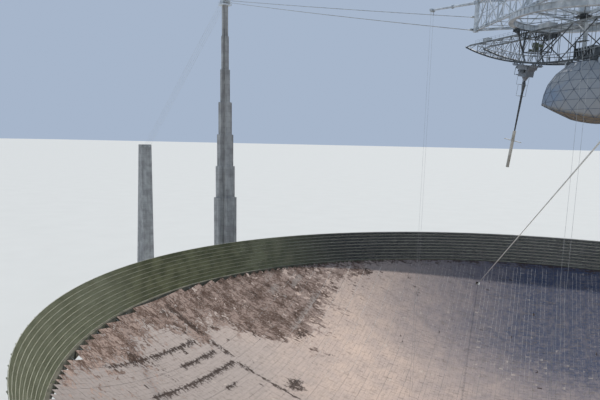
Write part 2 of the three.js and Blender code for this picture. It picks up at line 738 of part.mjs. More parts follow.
// A shallow cap closes the cut, down to the round mouth that the radio beam comes through
function domeLower() {
  const outer = facetted(DOME_CAP.map(([radius, depth]) => [radius, -depth - TOUCH]));
  const [, second, mouth] = DOME_CAP;
  const slope = (second[0] - mouth[0]) / (mouth[1] - second[1]);
  const inner = facetted([
    [DOME_CAP[0][0] - DOME_SKIN, 0.1 - TOUCH],
    [second[0] - DOME_SKIN, -second[1] + DOME_SKIN - TOUCH],
    [mouth[0] - DOME_SKIN - slope * 0.5, -mouth[1] + DOME_SKIN - TOUCH - 0.5],
  ]);
  const cap = geometryOf(outer.subtract(inner));
  const shift = -DOME_CUT_DROP * Math.cos(cutTilt);
  cap.rotateY(-cutTilt);
  return cap.translate(cutNormal[0] * shift * M, 0, (cutNormal[2] * shift - DOME_CENTRE) * M);
}

piece(dome, 'dome_upper_shell', 'dome', domeUpper());
piece(dome, 'dome_lower_shell', 'dome', domeLower());

const feed = carriage(FEED_ZENITH, 1);

function carriageHouse() {
  const shape = new THREE.Shape();
  HOUSE_OUTLINE.forEach(([x, distance], i) => {
    const spot = [x * M, -distance * M];
    return i ? shape.lineTo(...spot) : shape.moveTo(...spot);
  });
  const room = new THREE.ExtrudeGeometry(shape, { depth: 2 * HOUSE_HALF * M, bevelEnabled: false });
  room.rotateX(Math.PI / 2).translate(0, HOUSE_HALF * M, 0);
  const parts = frameUnder(FEED_FRAME_LENGTH, FEED_FRAME, FEED_FRAME_DEPTH);
  parts.push(
    block(below(-2.3, -2.2, HOUSE_MIDDLE), below(2.3, 2.2, FEED_FRAME + 0.4)),
    room,
    rod(below(0, 0, HOUSE_BOTTOM - 0.2), below(0, 0, FEED_TOP), 1.2, 10, 0.5),
  );
  return join(parts);
}

piece(feed, 'carriage_house', 'dark_steel', carriageHouse());

function lineFeed() {
  const sections = FEED_SECTIONS.slice(1).map(([distance, radius], i) => {
    const [start, first] = FEED_SECTIONS[i];
    return rod(below(0, 0, start + (i ? 0 : TOUCH)), below(0, 0, distance), first, 8, radius);
  });
  return join([
    ...sections,
    rod(below(0, 0, FEED_CHANGE - 0.2), below(0, 0, FEED_END), 0.53, 8),
    bar(below(-FEED_BAR_HALF, 0, FEED_BAR), below(FEED_BAR_HALF, 0, FEED_BAR), 0.16),
  ]);
}

piece(feed, 'line_feed', 'feed', lineFeed());

function guideCable() {
  const { x, y, z } = GUIDE_TOWER;
  const outward = (point) => point.x * Math.cos(GUIDE_COLUMN) + point.y * Math.sin(GUIDE_COLUMN);
  const face = columnCentre - RIM_COLUMN / 2 - TOUCH;
  const share = (face * M - 0.5 * M - outward(guideAt(0))) / (outward(guideAt(1)) - outward(guideAt(0)));
  const end = guideAt(share);
  const local = end.clone().applyAxisAngle(new THREE.Vector3(0, 0, 1), -GUIDE_COLUMN);
  const socket = block(
    new THREE.Vector3((face - 1.2) * M, local.y - 0.5 * M, local.z - 0.4 * M),
    new THREE.Vector3(face * M, local.y + 0.5 * M, local.z + 0.6 * M),
  );
  return join([
    rod(guideAt(0.001), end, CABLE),
    block(at(x - 0.3, y + TOUCH, z - 0.5), at(x + 0.3, y + 0.8, z + 0.3)),
    socket.rotateZ(GUIDE_COLUMN),
  ]);
}

piece(telescope, 'guide_cable', 'cable', guideCable());

export default telescope;
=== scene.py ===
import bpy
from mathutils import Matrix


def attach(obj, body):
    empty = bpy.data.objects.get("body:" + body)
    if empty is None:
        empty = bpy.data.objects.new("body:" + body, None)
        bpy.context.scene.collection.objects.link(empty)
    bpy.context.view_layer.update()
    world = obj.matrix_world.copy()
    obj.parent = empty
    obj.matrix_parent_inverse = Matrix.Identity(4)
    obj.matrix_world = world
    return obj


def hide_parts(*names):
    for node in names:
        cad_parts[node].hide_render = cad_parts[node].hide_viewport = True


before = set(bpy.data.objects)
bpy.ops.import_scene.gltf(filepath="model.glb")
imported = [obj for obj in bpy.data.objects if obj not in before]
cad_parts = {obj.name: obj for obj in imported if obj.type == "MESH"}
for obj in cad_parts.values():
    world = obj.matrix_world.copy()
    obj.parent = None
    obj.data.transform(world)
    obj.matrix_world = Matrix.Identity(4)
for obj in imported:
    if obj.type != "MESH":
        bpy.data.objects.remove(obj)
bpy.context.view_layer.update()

import math
import random

import bpy
import numpy as np
from mathutils import Matrix, Vector

# A spherical radio telescope as a 1:20 model. Sizes are in metres of the real telescope, and M turns them
# into metres of the model. Heights written with up() or at() are above the bowl's rim.
M = 0.05
SPHERE_RADIUS = 265.2
RIM_RADIUS = 152.4
CENTRE_HEIGHT = 271.2
RIM_HEIGHT = CENTRE_HEIGHT - math.sqrt(SPHERE_RADIUS ** 2 - RIM_RADIUS ** 2)
SECTORS = 6
SECTOR = math.tau / SECTORS
TOWER_AZIMUTHS = {"a": 150, "b": 270, "c": 30}

random.seed(7)


def up(above_rim):
    return RIM_HEIGHT + above_rim


def at(x, y, above_rim):
    return Vector((x, y, up(above_rim)))


def around(angle, radius=1.0, height=0.0):
    return Vector((radius * math.cos(angle), radius * math.sin(angle), height))


def turns(count, phase=0.0):
    return [math.tau * k / count + phase for k in range(count)]


def placed(name, data):
    """A new object in the scene."""
    obj = bpy.data.objects.new(name, data)
    bpy.context.scene.collection.objects.link(obj)
    return obj


# Camera

CAMERA_PLACE = Vector((-4.396, -203.748, up(64.855))) * M
CAMERA_YAW = math.radians(23.0)
CAMERA_PITCH = math.radians(10.13)
CAMERA_ROLL = 0.0197
LENS = 35.71
SHIFT = (0.0057, 0.0808)


def make_camera():
    data = bpy.data.cameras.new("photo_camera")
    data.lens = LENS
    data.sensor_width = 36
    data.shift_x, data.shift_y = SHIFT
    data.clip_end = 5000
    camera = placed("photo_camera", data)
    turn = Matrix.Rotation(CAMERA_YAW, 4, "Z") @ Matrix.Rotation(math.pi / 2 - CAMERA_PITCH, 4, "X")
    camera.matrix_world = Matrix.Translation(CAMERA_PLACE) @ turn @ Matrix.Rotation(CAMERA_ROLL, 4, "Z")
    bpy.context.scene.camera = camera


# Meshes from bars, rods, tubes and plates

UP = Vector((0, 0, 1))


class Shape:
    """Closed solids gathered for one mesh, in metres of the real telescope."""

    def __init__(self, turn=None):
        self.turn = turn or Matrix.Identity(4)
        self.points = []
        self.faces = []

    def add(self, points, faces):
        start = len(self.points)
        self.points += [self.turn @ Vector(p) for p in points]
        self.faces += [tuple(start + i for i in face) for face in faces]

    def prism(self, first, last):
        """A solid between two rings, each anticlockwise when seen from the last one's side."""
        n = len(first)
        sides = [(i, (i + 1) % n, n + (i + 1) % n, n + i) for i in range(n)]
        caps = [tuple(reversed(range(n))), tuple(range(n, 2 * n))]
        self.add([*first, *last], sides + caps)

    def box(self, low, high):
        low, high = Vector(low), Vector(high)
        ring = [(low.x, low.y), (high.x, low.y), (high.x, high.y), (low.x, high.y)]
        self.prism([(x, y, low.z) for x, y in ring], [(x, y, high.z) for x, y in ring])

    def bar(self, start, end, width, depth=None, level=UP):
        start, end = Vector(start), Vector(end)
        side, top = across(start, end, level)
        w, d = width / 2, (depth or width) / 2
        ring = [-side * w - top * d, side * w - top * d, side * w + top * d, -side * w + top * d]
        self.prism([start + p for p in ring], [end + p for p in ring])

    def run(self, points, width, depth=None):
        """Bars along a line of points."""
        for start, end in zip(points, points[1:]):
            self.bar(start, end, width, depth)

    def rod(self, start, end, radius, sides=6, end_radius=None):
        start, end = Vector(start), Vector(end)
        ring = circle(start, end, sides)
        tip = radius if end_radius is None else end_radius
        self.prism([start + p * radius for p in ring], [end + p * tip for p in ring])

    def tube(self, path, radius, sides=6):
        """A round bar along a list of points."""
        path = [Vector(p) for p in path]
        rings = []
        for i, point in enumerate(path):
            before, after = path[max(i - 1, 0)], path[min(i + 1, len(path) - 1)]
            rings.append([point + p * radius for p in circle(before, after, sides)])
        self.loft(rings)

    def loft(self, rings, closed=False):
        n = len(rings[0])
        count = len(rings)
        faces = []
        for j in range(count if closed else count - 1):
            a, b = j * n, ((j + 1) % count) * n
            faces += [(a + i, a + (i + 1) % n, b + (i + 1) % n, b + i) for i in range(n)]
        if not closed:
            faces += [tuple(reversed(range(n))), tuple(range((count - 1) * n, count * n))]
        self.add([p for ring in rings for p in ring], faces)

    def ring(self, outline, segments):
        """A closed ring about the z axis. The outline's points (radius, height) run clockwise."""
        self.loft([[around(t, r, z) for r, z in outline] for t in turns(segments)], closed=True)


def across(start, end, level=UP):
    """The directions to the side and up, for a bar with its top kept level."""
    direction = (end - start).normalized()
    if abs(direction.dot(level)) > 0.97:
        level = Vector((1, 0, 0))
    side = level.cross(direction).normalized()
    return side, direction.cross(side)


def circle(start, end, sides):
    """Directions square to a line, evenly all round it."""
    side, top = across(start, end)
    return [side * math.cos(t) + top * math.sin(t) for t in turns(sides)]


def dress(obj, body, slot, *nodes):
    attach(obj, body)
    if nodes:
        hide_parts(*nodes)
    return obj


# The material slot for each finish that isn't painted steel
SLOTS = {"screen_wire": "screen_mesh", "machine_paint": "dark_steel", "drive_paint": "dark_steel",
         "wire_rope": "cable_steel", "pale_rope": "cable_steel", "dome_sheet": "dome_panels",
         "dome_seams": "dark_steel", "house_paint": "dark_steel", "feed_pale": "feed_tube",
         "feed_dark": "dark_steel"}


def make(name, shape, finish, body, *nodes, slot=None):
    mesh = bpy.data.meshes.new(name)
    mesh.from_pydata([p * M for p in shape.points], [], shape.faces)
    mesh.materials.append(finish)
    return dress(placed(name, mesh), body, slot or SLOTS.get(finish.name, "painted_steel"), *nodes)


def mark(mesh, name, values):
    mesh.attributes.new(name, "FLOAT", "POINT").data.foreach_set("value", values)


def turned(azimuth):
    return Matrix.Rotation(math.radians(azimuth), 4, "Z")


# Materials


class Signal:
    """A node's output, to be added to, multiplied and set against limits."""

    def __init__(self, finish, socket):
        self.finish = finish
        self.socket = socket

    def __add__(self, other):
        return self.finish.maths("ADD", self, other)

    def __sub__(self, other):
        return self.finish.maths("SUBTRACT", self, other)

    def __rsub__(self, other):
        return self.finish.maths("SUBTRACT", other, self)

    def __mul__(self, other):
        return self.finish.maths("MULTIPLY", self, other)

    def most(self, other):
        return self.finish.maths("MAXIMUM", self, other)

    def between(self, low, high):
        """0 below low and 1 above high."""
        node = self.finish.node("ShaderNodeMapRange", interpolation_type="SMOOTHSTEP")
        self.finish.put(node.inputs["Value"], self)
        node.inputs["From Min"].default_value = low
        node.inputs["From Max"].default_value = high
        return Signal(self.finish, node.outputs["Result"])


class Finish:
    """A material built from procedural nodes, in the object's own coordinates."""

    def __init__(self, name, roughness=0.6, metallic=0.0):
        self.material = bpy.data.materials.new(name)
        self.material.use_nodes = True
        self.tree = self.material.node_tree
        self.shader = self.tree.nodes["Principled BSDF"].inputs
        self.shader["Roughness"].default_value = roughness
        self.shader["Metallic"].default_value = metallic
        self.place = self.node("ShaderNodeTexCoord").outputs["Object"]

    def node(self, kind, **settings):
        node = self.tree.nodes.new(kind)
        for key, value in settings.items():
            setattr(node, key, value)
        return node

    def put(self, socket, value):
        if isinstance(value, Signal):
            value = value.socket
        if hasattr(value, "is_linked"):
            self.tree.links.new(value, socket)
        else:
            socket.default_value = value

    def stretched(self, size, turn=0.0):
        """The object's coordinates, turned about z and then drawn out by size along x, y and z."""
        node = self.node("ShaderNodeMapping", vector_type="TEXTURE")
        self.put(node.inputs["Vector"], self.place)
        node.inputs["Rotation"].default_value = (0, 0, turn)
        node.inputs["Scale"].default_value = size
        return node.outputs["Vector"]

    def noise(self, size, detail=4.0, vector=None, roughness=0.55):
        """Noise whose patches are about size metres of the real telescope."""
        node = self.node("ShaderNodeTexNoise")
        self.put(node.inputs["Vector"], vector or self.place)
        node.inputs["Scale"].default_value = 1 / (size * M)
        node.inputs["Detail"].default_value = detail
        node.inputs["Roughness"].default_value = roughness
        return Signal(self, node.outputs["Fac"])

    def bands(self, scale, direction, **settings):
        node = self.node("ShaderNodeTexWave", wave_type="BANDS", bands_direction=direction, **settings)
        self.put(node.inputs["Vector"], self.place)
        node.inputs["Scale"].default_value = scale
        return Signal(self, node.outputs["Fac"])

    def attribute(self, name):
        return Signal(self, self.node("ShaderNodeAttribute", attribute_name=name).outputs["Fac"])

    def maths(self, operation, first, second):
        node = self.node("ShaderNodeMath", operation=operation)
        self.put(node.inputs[0], first)
        self.put(node.inputs[1], second)
        return Signal(self, node.outputs[0])

    def mix(self, share, first, second):
        node = self.node("ShaderNodeMix", data_type="RGBA")
        self.put(node.inputs["Factor"], share)
        self.put(node.inputs[6], colour(first))
        self.put(node.inputs[7], colour(second))
        return node.outputs[2]

    def finish(self, base, bump=None, distance=0.02, strength=0.5, roughness=None):
        """The material. The bump's distance is in metres of the real telescope."""
        self.put(self.shader["Base Color"], colour(base))
        if roughness is not None:
            self.put(self.shader["Roughness"], roughness)
        if bump is not None:
            node = self.node("ShaderNodeBump")
            node.inputs["Strength"].default_value = strength
            node.inputs["Distance"].default_value = distance * M
            self.put(node.inputs["Height"], bump)
            self.put(self.shader["Normal"], node.outputs["Normal"])
        return self.material


def colour(value):
    """A hex colour as Blender's linear one; a socket is passed on."""
    if not isinstance(value, str):
        return value
    parts = [int(value[i:i + 2], 16) / 255 for i in (0, 2, 4)]
    return (*[p / 12.92 if p <= 0.04045 else ((p + 0.055) / 1.055) ** 2.4 for p in parts], 1)


GRID_TURN = math.radians(1.7)
LOW_GLOSS = 0.12
BARE_METALLIC = 0.35
DULL_ROUGHNESS = 0.95
BARE_GLOSS = 0.33


def panel_finish():
    """Sheet that is bare where it is clean, and dull where it is stained, under its painted shade and at its
    dark marks.
    """
    f = Finish("panel_sheet")
    f.shader["Specular IOR Level"].default_value = LOW_GLOSS
    streaks = f.noise(0.9, 5, f.stretched((1, 7, 1), GRID_TURN), 0.65)
    dashes = f.noise(1.1, 5, f.stretched((6, 1, 1), GRID_TURN), 0.62)
    flecks = f.noise(0.5, 5, f.stretched((2.4, 1, 1), GRID_TURN), 0.65)
    swathes = f.noise(4, 6, f.stretched((3.5, 1, 1), GRID_TURN), 0.62)
    blots = f.noise(3.2, 6, roughness=0.68)
    clouds = f.noise(11, 5)
    grain = f.noise(0.9, 6, roughness=0.7)
    mottle = blots * 0.45 + dashes * 0.75
    wander = (f.noise(7, 6, roughness=0.65) - 0.5) * 3.2
    ragged = grain + dashes - 1.0

    edge = f.attribute("stain") + (wander + (mottle - 0.6) * 5.5) * f.attribute("spread")
    stained = edge.between(0.4, 0.62)
    brown = f.mix((blots * 0.45 + dashes * 0.55).between(0.46, 0.54), "705c51", "a38e82")
    brown = f.mix(swathes.between(0.48, 0.58) * 0.7, brown, "503d33")
    brown = f.mix((flecks * 0.6 + grain * 0.4).between(0.52, 0.6) * 0.6, brown, "b9aa9f")

    # Painted shade: a mottled grey-blue wash over the right of the bowl's far side.
    painted_shade = f.attribute("painted_shade") * (blots * 1.1 + flecks * 0.5 + 0.15)
    clean = f.mix(clouds.between(0.35, 0.7), "a09189", "ad9b8f")
    # Painted shade: a greyer, darker wash over the lower left, evening out the stronger sunlight it gets.
    clean = f.mix(f.attribute("grey"), clean, "938a85")
    clean = f.mix(painted_shade, clean, "424a60")
    clean = f.mix(streaks.between(0.42, 0.72) * 0.4, clean, "7d7670")
    clean = f.mix(mottle.between(0.62, 0.76) * 0.5, clean, "6f645c")

    # The dark marks, among them painted shade beside some wide seams and a painted shadow across the strips.
    dark = (f.attribute("dark") + ragged * 1.8).between(0.42, 0.68)
    pale = (f.attribute("pale") + ragged * 2).between(0.3, 0.8)
    base = f.mix(stained, clean, brown)
    base = f.mix(dark * 0.85, base, "3d3029")
    base = f.mix(pale * 0.55, base, "ada39a")
    bare = 1.0 - stained.most(painted_shade * 0.35).most(dark)
    f.put(f.shader["Metallic"], bare * BARE_METALLIC)
    rough = DULL_ROUGHNESS - bare * BARE_GLOSS
    return f.finish(base, streaks + grain, distance=0.03, strength=0.35, roughness=rough)


def mesh_finish():
    """Wire with painted light and shade along y: pale painted light at the bowl's near side, and near-black
    painted shade at its far side.
    """
    f = Finish("screen_wire", roughness=0.75, metallic=0.1)
    split = f.node("ShaderNodeSeparateXYZ")
    f.put(split.inputs[0], f.place)
    patches = f.noise(6, 5)
    north = Signal(f, split.outputs["Y"]) + patches * 0.8
    base = f.mix(patches.between(0.35, 0.65), "777a5b", "9a9b78")
    base = f.mix(f.noise(1.2, 5).between(0.58, 0.75), base, "857a62")
    # Painted light on the near side, then near-black painted shade on the far side.
    base = f.mix(north.between(-1.6, 0.6), f.mix(patches, "7f8266", "b1b29a"), base)
    base = f.mix(north.between(3.8, 6.2), base, f.mix(patches, "1b2023", "272d2b"))
    return f.finish(base, f.noise(0.4, 3), distance=0.01)


def steel_finish(name, pale, grey, rust_share=0.66):
    f = Finish(name, roughness=0.55, metallic=0.15)
    runs = f.noise(1.5, 5, f.stretched((1, 1, 5)))
    base = f.mix(f.noise(3, 5).between(0.38, 0.64), pale, grey)
    base = f.mix(runs.between(0.5, 0.75) * 0.5, base, grey)
    base = f.mix(f.noise(0.7, 6, roughness=0.7).between(rust_share, rust_share + 0.1), base, "6e5a4b")
    return f.finish(base, f.noise(0.25, 4), distance=0.008, roughness=runs.between(-0.6, 1.6))


LIFT_BANDS = 1 / (3.0 * M) / 3.2


def concrete_finish():
    """Concrete cast in lifts, with a joint between each two and runs below them."""
    f = Finish("cast_concrete", roughness=0.92)
    runs = f.noise(1.6, 6, f.stretched((1, 1, 16)), 0.65)
    joint = f.bands(LIFT_BANDS, "Z", wave_profile="SAW").between(0.94, 0.99)
    base = f.mix(f.noise(5, 6).between(0.35, 0.68), "b3b3b0", "949391")
    base = f.mix(runs.between(0.45, 0.72) * 0.6, base, "727170")
    base = f.mix(f.noise(0.8, 6, roughness=0.7).between(0.62, 0.78), base, "87837a")
    base = f.mix(joint * 0.55, base, "6d6a62")
    return f.finish(base, f.noise(0.5, 5) - joint * 0.9, distance=0.06, strength=0.6)


def cable_finish():
    f = Finish("wire_rope", roughness=0.5, metallic=0.3)
    base = f.mix(f.noise(2, 5).between(0.4, 0.65), "c2c4c2", "8f9291")
    return f.finish(base, f.bands(60, "DIAGONAL"), distance=0.02, strength=0.6)


def rim_finish():
    f = Finish("rim_concrete", roughness=0.95)
    base = f.mix(f.noise(4, 6).between(0.38, 0.62), "6d6a5c", "4f4f42")
    base = f.mix(f.noise(1.1, 6, roughness=0.7).between(0.55, 0.7), base, "8a8371")
    base = f.mix(f.noise(2.2, 6).between(0.6, 0.72), base, "49542f")
    return f.finish(base, f.noise(0.5, 5), distance=0.05, strength=0.6)


def dome_finish():
    """Sheets of slightly different tones, greyer towards the top and stained along the lower edge."""
    f = Finish("dome_sheet", roughness=0.72, metallic=0.05)
    runs = f.noise(1.8, 6, f.stretched((1, 1, 4)), 0.65)
    greying = (f.attribute("greyer_top") + f.noise(2.4, 5)).between(0.75, 1.15)
    stain = (f.attribute("low") + runs * 0.5).between(0.62, 1.0)
    base = f.mix(f.attribute("tone"), "8898ac", "9aa2ac")
    base = f.mix(greying * 0.7, base, "a4a5a4")
    base = f.mix(stain * 0.85, base, "8d8370")
    base = f.mix(runs.between(0.55, 0.75) * 0.3, base, "6f6d68")
    return f.finish(base, f.noise(0.6, 5), distance=0.02, strength=0.4)


def plain_finish(name, first, second, roughness=0.7):
    f = Finish(name, roughness=roughness, metallic=0.1)
    base = f.mix(f.noise(2, 6).between(0.35, 0.68), first, second)
    return f.finish(base, f.noise(1 / 3, 4), distance=0.01)


PANEL = panel_finish()
WIRE = mesh_finish()
RAIL_STEEL = steel_finish("screen_rails", "cccab4", "a09f8c")
PALE_STEEL = steel_finish("platform_paint", "d8dde1", "b0b8be")
GREY_STEEL = steel_finish("arm_paint", "989da0", "6f7579")
# A darker copy of the arm's paint: painted shade on the rails, the long diagonals and the cross girders.
ARM_PAINTED_SHADE = steel_finish("arm_painted_shade", "5b6165", "3f4448", rust_share=0.72)
DARK_STEEL = steel_finish("machine_paint", "565b5e", "3a3e40", rust_share=0.7)
GREEN_STEEL = plain_finish("drive_paint", "717a60", "565e4e")
CONCRETE = concrete_finish()
RIM_CONCRETE = rim_finish()
ROPE = cable_finish()
PALE_ROPE = plain_finish("pale_rope", "e8e8e4", "cbccc9", 0.5)
DOME_SHEET = dome_finish()
DOME_LINING = plain_finish("dome_seams", "707a88", "5b646f")
HOUSE_STEEL = steel_finish("house_paint", "949aa1", "7b8188", rust_share=0.74)
FEED_PALE = steel_finish("feed_pale", "d6d2c6", "b6b1a4", rust_share=0.72)
FEED_DARK = steel_finish("feed_dark", "5d6062", "45484a", rust_share=0.74)


# Bowl: strips of panels in a square grid, each strip cut off at the rim, on a net of cables

PANEL_WIDTH = 1.885
PANEL_LENGTH = 1.83
PANEL_DEPTH = 0.12
PANEL_GAP = 0.018
BAY_STRIPS = 4
BAY_GAP = 0.045
BAY = PANEL_WIDTH * BAY_STRIPS
GRID_START = -2.32
PANEL_REACH = RIM_RADIUS - 0.15
NOTCH_STRIP = -135.2
NOTCH_REACH = 150.8
SHORTEST_PANEL = 0.5

TIEDOWN_RADIUS = 58.4
GUIDE_HOLE = (-37.2, 131.4)

# The inner edge of the brown stain: how far in it reaches at each y of the grid
STAIN_EDGE = [(-152, -90), (-100, -124), (-60, -130), (-43, -128), (-35, -136), (-20, -141), (-8, -137),
              (-2, -127), (3, -127), (6, -134), (15, -131), (22, -123), (30, -110), (38, -104), (50, -101),
              (75, -102), (92, -104), (104, -97), (112, -90), (120, -100), (152, -130)]
STAIN_BLUR = 9

# Dark patches: x and y of the grid, half width, half length and how dark they are
DARK_PATCHES = [
    (-92, 8, 4, 5, 0.75), (-104, 45, 3, 7, 0.6), (-111, 55, 2.5, 3.5, 0.6), (-119, 25, 4, 3, 0.45),
    (-97, 103, 9, 11, 0.3), (-91, 112, 3.5, 3, 0.7), (-132, -43, 5, 4, 0.6), (-124, -38, 8, 4, 0.34),
    (-130, 50, 5, 2.5, 0.5), (-140, 20, 9, 4, 0.36), (-112, -1, 4, 2.5, 0.45), (-145, -52, 8, 12, 0.34),
    (-88, 42, 3, 2, 0.4), (-63, 113, 1.5, 3, 0.6), (-128, 62, 4, 2.5, 0.5), (-40, -20, 12, 5, 0.24),
    (60, -70, 14, 10, 0.2), (20, -120, 20, 6, 0.22), (-140, -8, 5, 5, 0.4), (-145, -4, 6, 2, 0.5)]
# Dark runs beside some of the wide seams, painted shade: x of the grid, from y, to y
DARK_RUNS = [(-130.5, -62, -4), (-123, -30, -1), (-115.4, -58, 1), (-107.9, -24, -12), (115.3, -40, 10),
             (92.7, -60, -30)]
# A dark run across the strips, a painted shadow: y of the grid, from x, to x, and half width
CROSS_RUNS = [(1.0, -150, -128, 1.7), (1.0, -130, -115, 1.2), (0.4, -115, -84, 0.8)]
RUN_DARKNESS = 0.75
# Pale runs down the strips: x of the grid, from y, to y, and half width
PALE_RUNS = [(-108.6, 42, 82, 1.0), (-126, 56, 69, 1.2), (-120, 70, 86, 1.3), (-131.5, 62, 75, 0.8),
             (-99.5, 88, 100, 0.8)]
SPECKS = 0.006


def sphere_height(x, y, below=0.0):
    return CENTRE_HEIGHT - np.sqrt((SPHERE_RADIUS + below) ** 2 - x ** 2 - y ** 2)


def strip_ends(x):
    outer = max(abs(x), abs(x + PANEL_WIDTH))
    if outer >= PANEL_REACH:
        return None
    far = math.sqrt(PANEL_REACH ** 2 - outer ** 2)
    near = -far
    if x <= NOTCH_STRIP < x + PANEL_WIDTH:
        near = -math.sqrt(NOTCH_REACH ** 2 - outer ** 2)
    return near, far


def open_places():
    """Where no panel lies: the middle, the tie-down cables and the guide cable."""
    places = [(0, 0, 1.4)]
    for azimuth in TOWER_AZIMUTHS.values():
        t = math.radians(azimuth)
        places.append((TIEDOWN_RADIUS * math.cos(t), TIEDOWN_RADIUS * math.sin(t), 1.5))
    places.append((*GUIDE_HOLE, 1.3))
    c, s = math.cos(GRID_TURN), math.sin(GRID_TURN)
    return [(x * c + y * s, -x * s + y * c, r) for x, y, r in places]


def panel_rectangles():
    """The panels as (x0, x1, y0, y1) in the grid."""
    holes = open_places()
    panels = []
    first = math.ceil((-PANEL_REACH - GRID_START) / PANEL_WIDTH)
    last = math.floor((PANEL_REACH - GRID_START) / PANEL_WIDTH)
    for i in range(first, last):
        x = GRID_START + i * PANEL_WIDTH
        ends = strip_ends(x)
        if ends is None:
            continue
        steps = range(math.ceil(ends[0] / PANEL_LENGTH), math.floor(ends[1] / PANEL_LENGTH) + 1)
        cuts = [ends[0], *[k * PANEL_LENGTH for k in steps], ends[1]]
        if cuts[1] - cuts[0] < SHORTEST_PANEL:
            cuts.pop(1)
        if len(cuts) > 2 and cuts[-1] - cuts[-2] < SHORTEST_PANEL:
            cuts.pop(-2)
        left = BAY_GAP if i % BAY_STRIPS == 0 else PANEL_GAP
        right = BAY_GAP if (i + 1) % BAY_STRIPS == 0 else PANEL_GAP
        for low, high in zip(cuts, cuts[1:]):
            middle = (x + PANEL_WIDTH / 2, (low + high) / 2)
            if any(math.dist(middle, hole[:2]) < hole[2] for hole in holes):
                continue
            panels.append((x + left, x + PANEL_WIDTH - right, low + PANEL_GAP, high - PANEL_GAP))
    return np.array(panels)


def run_share(along, low, high, aside, half):
    """1 along the middle of a run, falling to 0 at its sides and ends."""
    ends = np.clip(np.minimum(along - low, high - along) / 3, 0, 1)
    return ends * np.clip(1.35 - np.abs(aside) / half * 0.7, 0, 1)


def darkness(x, y, dice):
    """How dark the panels' corners are, 0 to 1: a far rim band, patches, specks, and painted shade in the
    runs.
    """
    dark = 0.7 * np.clip((np.hypot(x, y) - 146) / 6, 0, 1) * (y > 40)
    for px, py, half_x, half_y, most in DARK_PATCHES:
        distance = np.hypot((x - px) / half_x, (y - py) / half_y)
        dark = np.maximum(dark, most * np.clip(1.5 - distance, 0, 1))
    # Painted shade beside some of the wide seams.
    for px, low, high in DARK_RUNS:
        dark = np.maximum(dark, RUN_DARKNESS * run_share(y, low, high, x - px - 0.35, 1.2))
    # The painted shadow across the strips.
    for py, low, high, half in CROSS_RUNS:
        dark = np.maximum(dark, RUN_DARKNESS * run_share(x, low, high, y - py, half))
    return np.maximum(dark, specks(x, dice, SPECKS * (1 + 2 * (y > 70) * (x < -60))))


def paleness(x, y, dice):
    pale = specks(x, dice, 0.01 + 0.08 * np.clip(1 - np.hypot((x + 8) / 40, (y - 75) / 22), 0, 1))
    for px, low, high, half in PALE_RUNS:
        pale = np.maximum(pale, 0.8 * run_share(y, low, high, x - px, half))
    return pale


def specks(x, dice, share):
    """A mark along one edge of some of the panels."""
    chosen = dice.random(len(x)) < share[:, 0]
    edge = dice.integers(0, 4, len(x))
    size = dice.uniform(0.5, 1, len(x)) * chosen
    values = np.zeros_like(x)
    rows = np.arange(len(x))
    values[rows, edge] = size
    values[rows, (edge + 1) % 4] = size
    return values


def ramp(value, width=1.0):
    """0 up to nothing, rising to 1 over width."""
    return np.clip(value / width, 0, 1)


def panel_marks(gx, gy, dice):
    """What the panels' material reads at their corners, each 0 to about 1, by place in the grid."""
    inner = np.interp(gy, *np.array(STAIN_EDGE, float).T)
    far_right = ramp(gx - 60, 60)
    most = 1.15 - 0.45 * ramp(gy - 62, 30)
    stain = np.minimum(np.clip((inner - gx) / STAIN_BLUR + 0.5, 0, 1.15), most)
    # Painted shade: a grey-blue wash over the right of the bowl's far side.
    painted_shade = ramp(gx + 80, 95) * (0.6 + 0.4 * ramp(gy - 60, 30))
    painted_shade += 0.2 * ramp(gy - 60, 40) * ramp(gx + 100, 30)
    return {"stain": np.maximum(stain, far_right * 0.3),
            "spread": np.maximum(np.clip(1.1 - (gx - inner) / 26, 0.22, 1), far_right),
            # Painted shade: greyer and darker towards the lower left, evening out the stronger sunlight it
            # gets.
            "grey": ramp(-gx - 60, 50) * ramp(60 - gy, 60),
            "painted_shade": ramp(painted_shade) * ramp(gy - 5, 45) * np.clip((110 - gx) / 60, 0.3, 1),
            "dark": darkness(gx, gy, dice),
            "pale": paleness(gx, gy, dice)}


PANEL_FACES = np.array([(0, 3, 2, 1), (4, 5, 6, 7), (0, 1, 5, 4), (1, 2, 6, 5), (2, 3, 7, 6), (3, 0, 4, 7)])


def reflector():
    x0, x1, y0, y1 = panel_rectangles().T
    gx = np.stack([x0, x1, x1, x0], 1)
    gy = np.stack([y0, y0, y1, y1], 1)
    c, s = math.cos(GRID_TURN), math.sin(GRID_TURN)
    x = gx * c - gy * s
    y = gx * s + gy * c
    dice = np.random.default_rng(11)
    top = sphere_height(x, y) + dice.uniform(-0.02, 0.02, (len(x), 1))
    top += dice.normal(0, 0.012, (len(x), 4))
    vertices = np.stack([np.concatenate([x, x], 1), np.concatenate([y, y], 1),
                         np.concatenate([top - PANEL_DEPTH, top], 1)], 2)
    marks = panel_marks(gx, gy, dice)
    angle = np.arctan2(y.mean(1), x.mean(1)) % math.tau
    for k in range(SECTORS):
        chosen = np.nonzero((angle // SECTOR).astype(int) == k)[0]
        mesh = bpy.data.meshes.new(f"panels_{k + 1}")
        starts = np.arange(len(chosen))[:, None, None] * 8
        mesh.from_pydata((vertices[chosen] * M).reshape(-1, 3).tolist(), [],
                         (PANEL_FACES[None] + starts).reshape(-1, 4).tolist())
        for name, values in marks.items():
            mark(mesh, name, np.tile(values[chosen], (1, 2)).astype(np.float32).ravel())
        mesh.materials.append(PANEL)
        dress(placed(mesh.name, mesh), "structure", "panel_aluminium", f"reflector_sector_{k + 1}")


NET_BELOW = 0.35
NET_RADIUS = 0.09


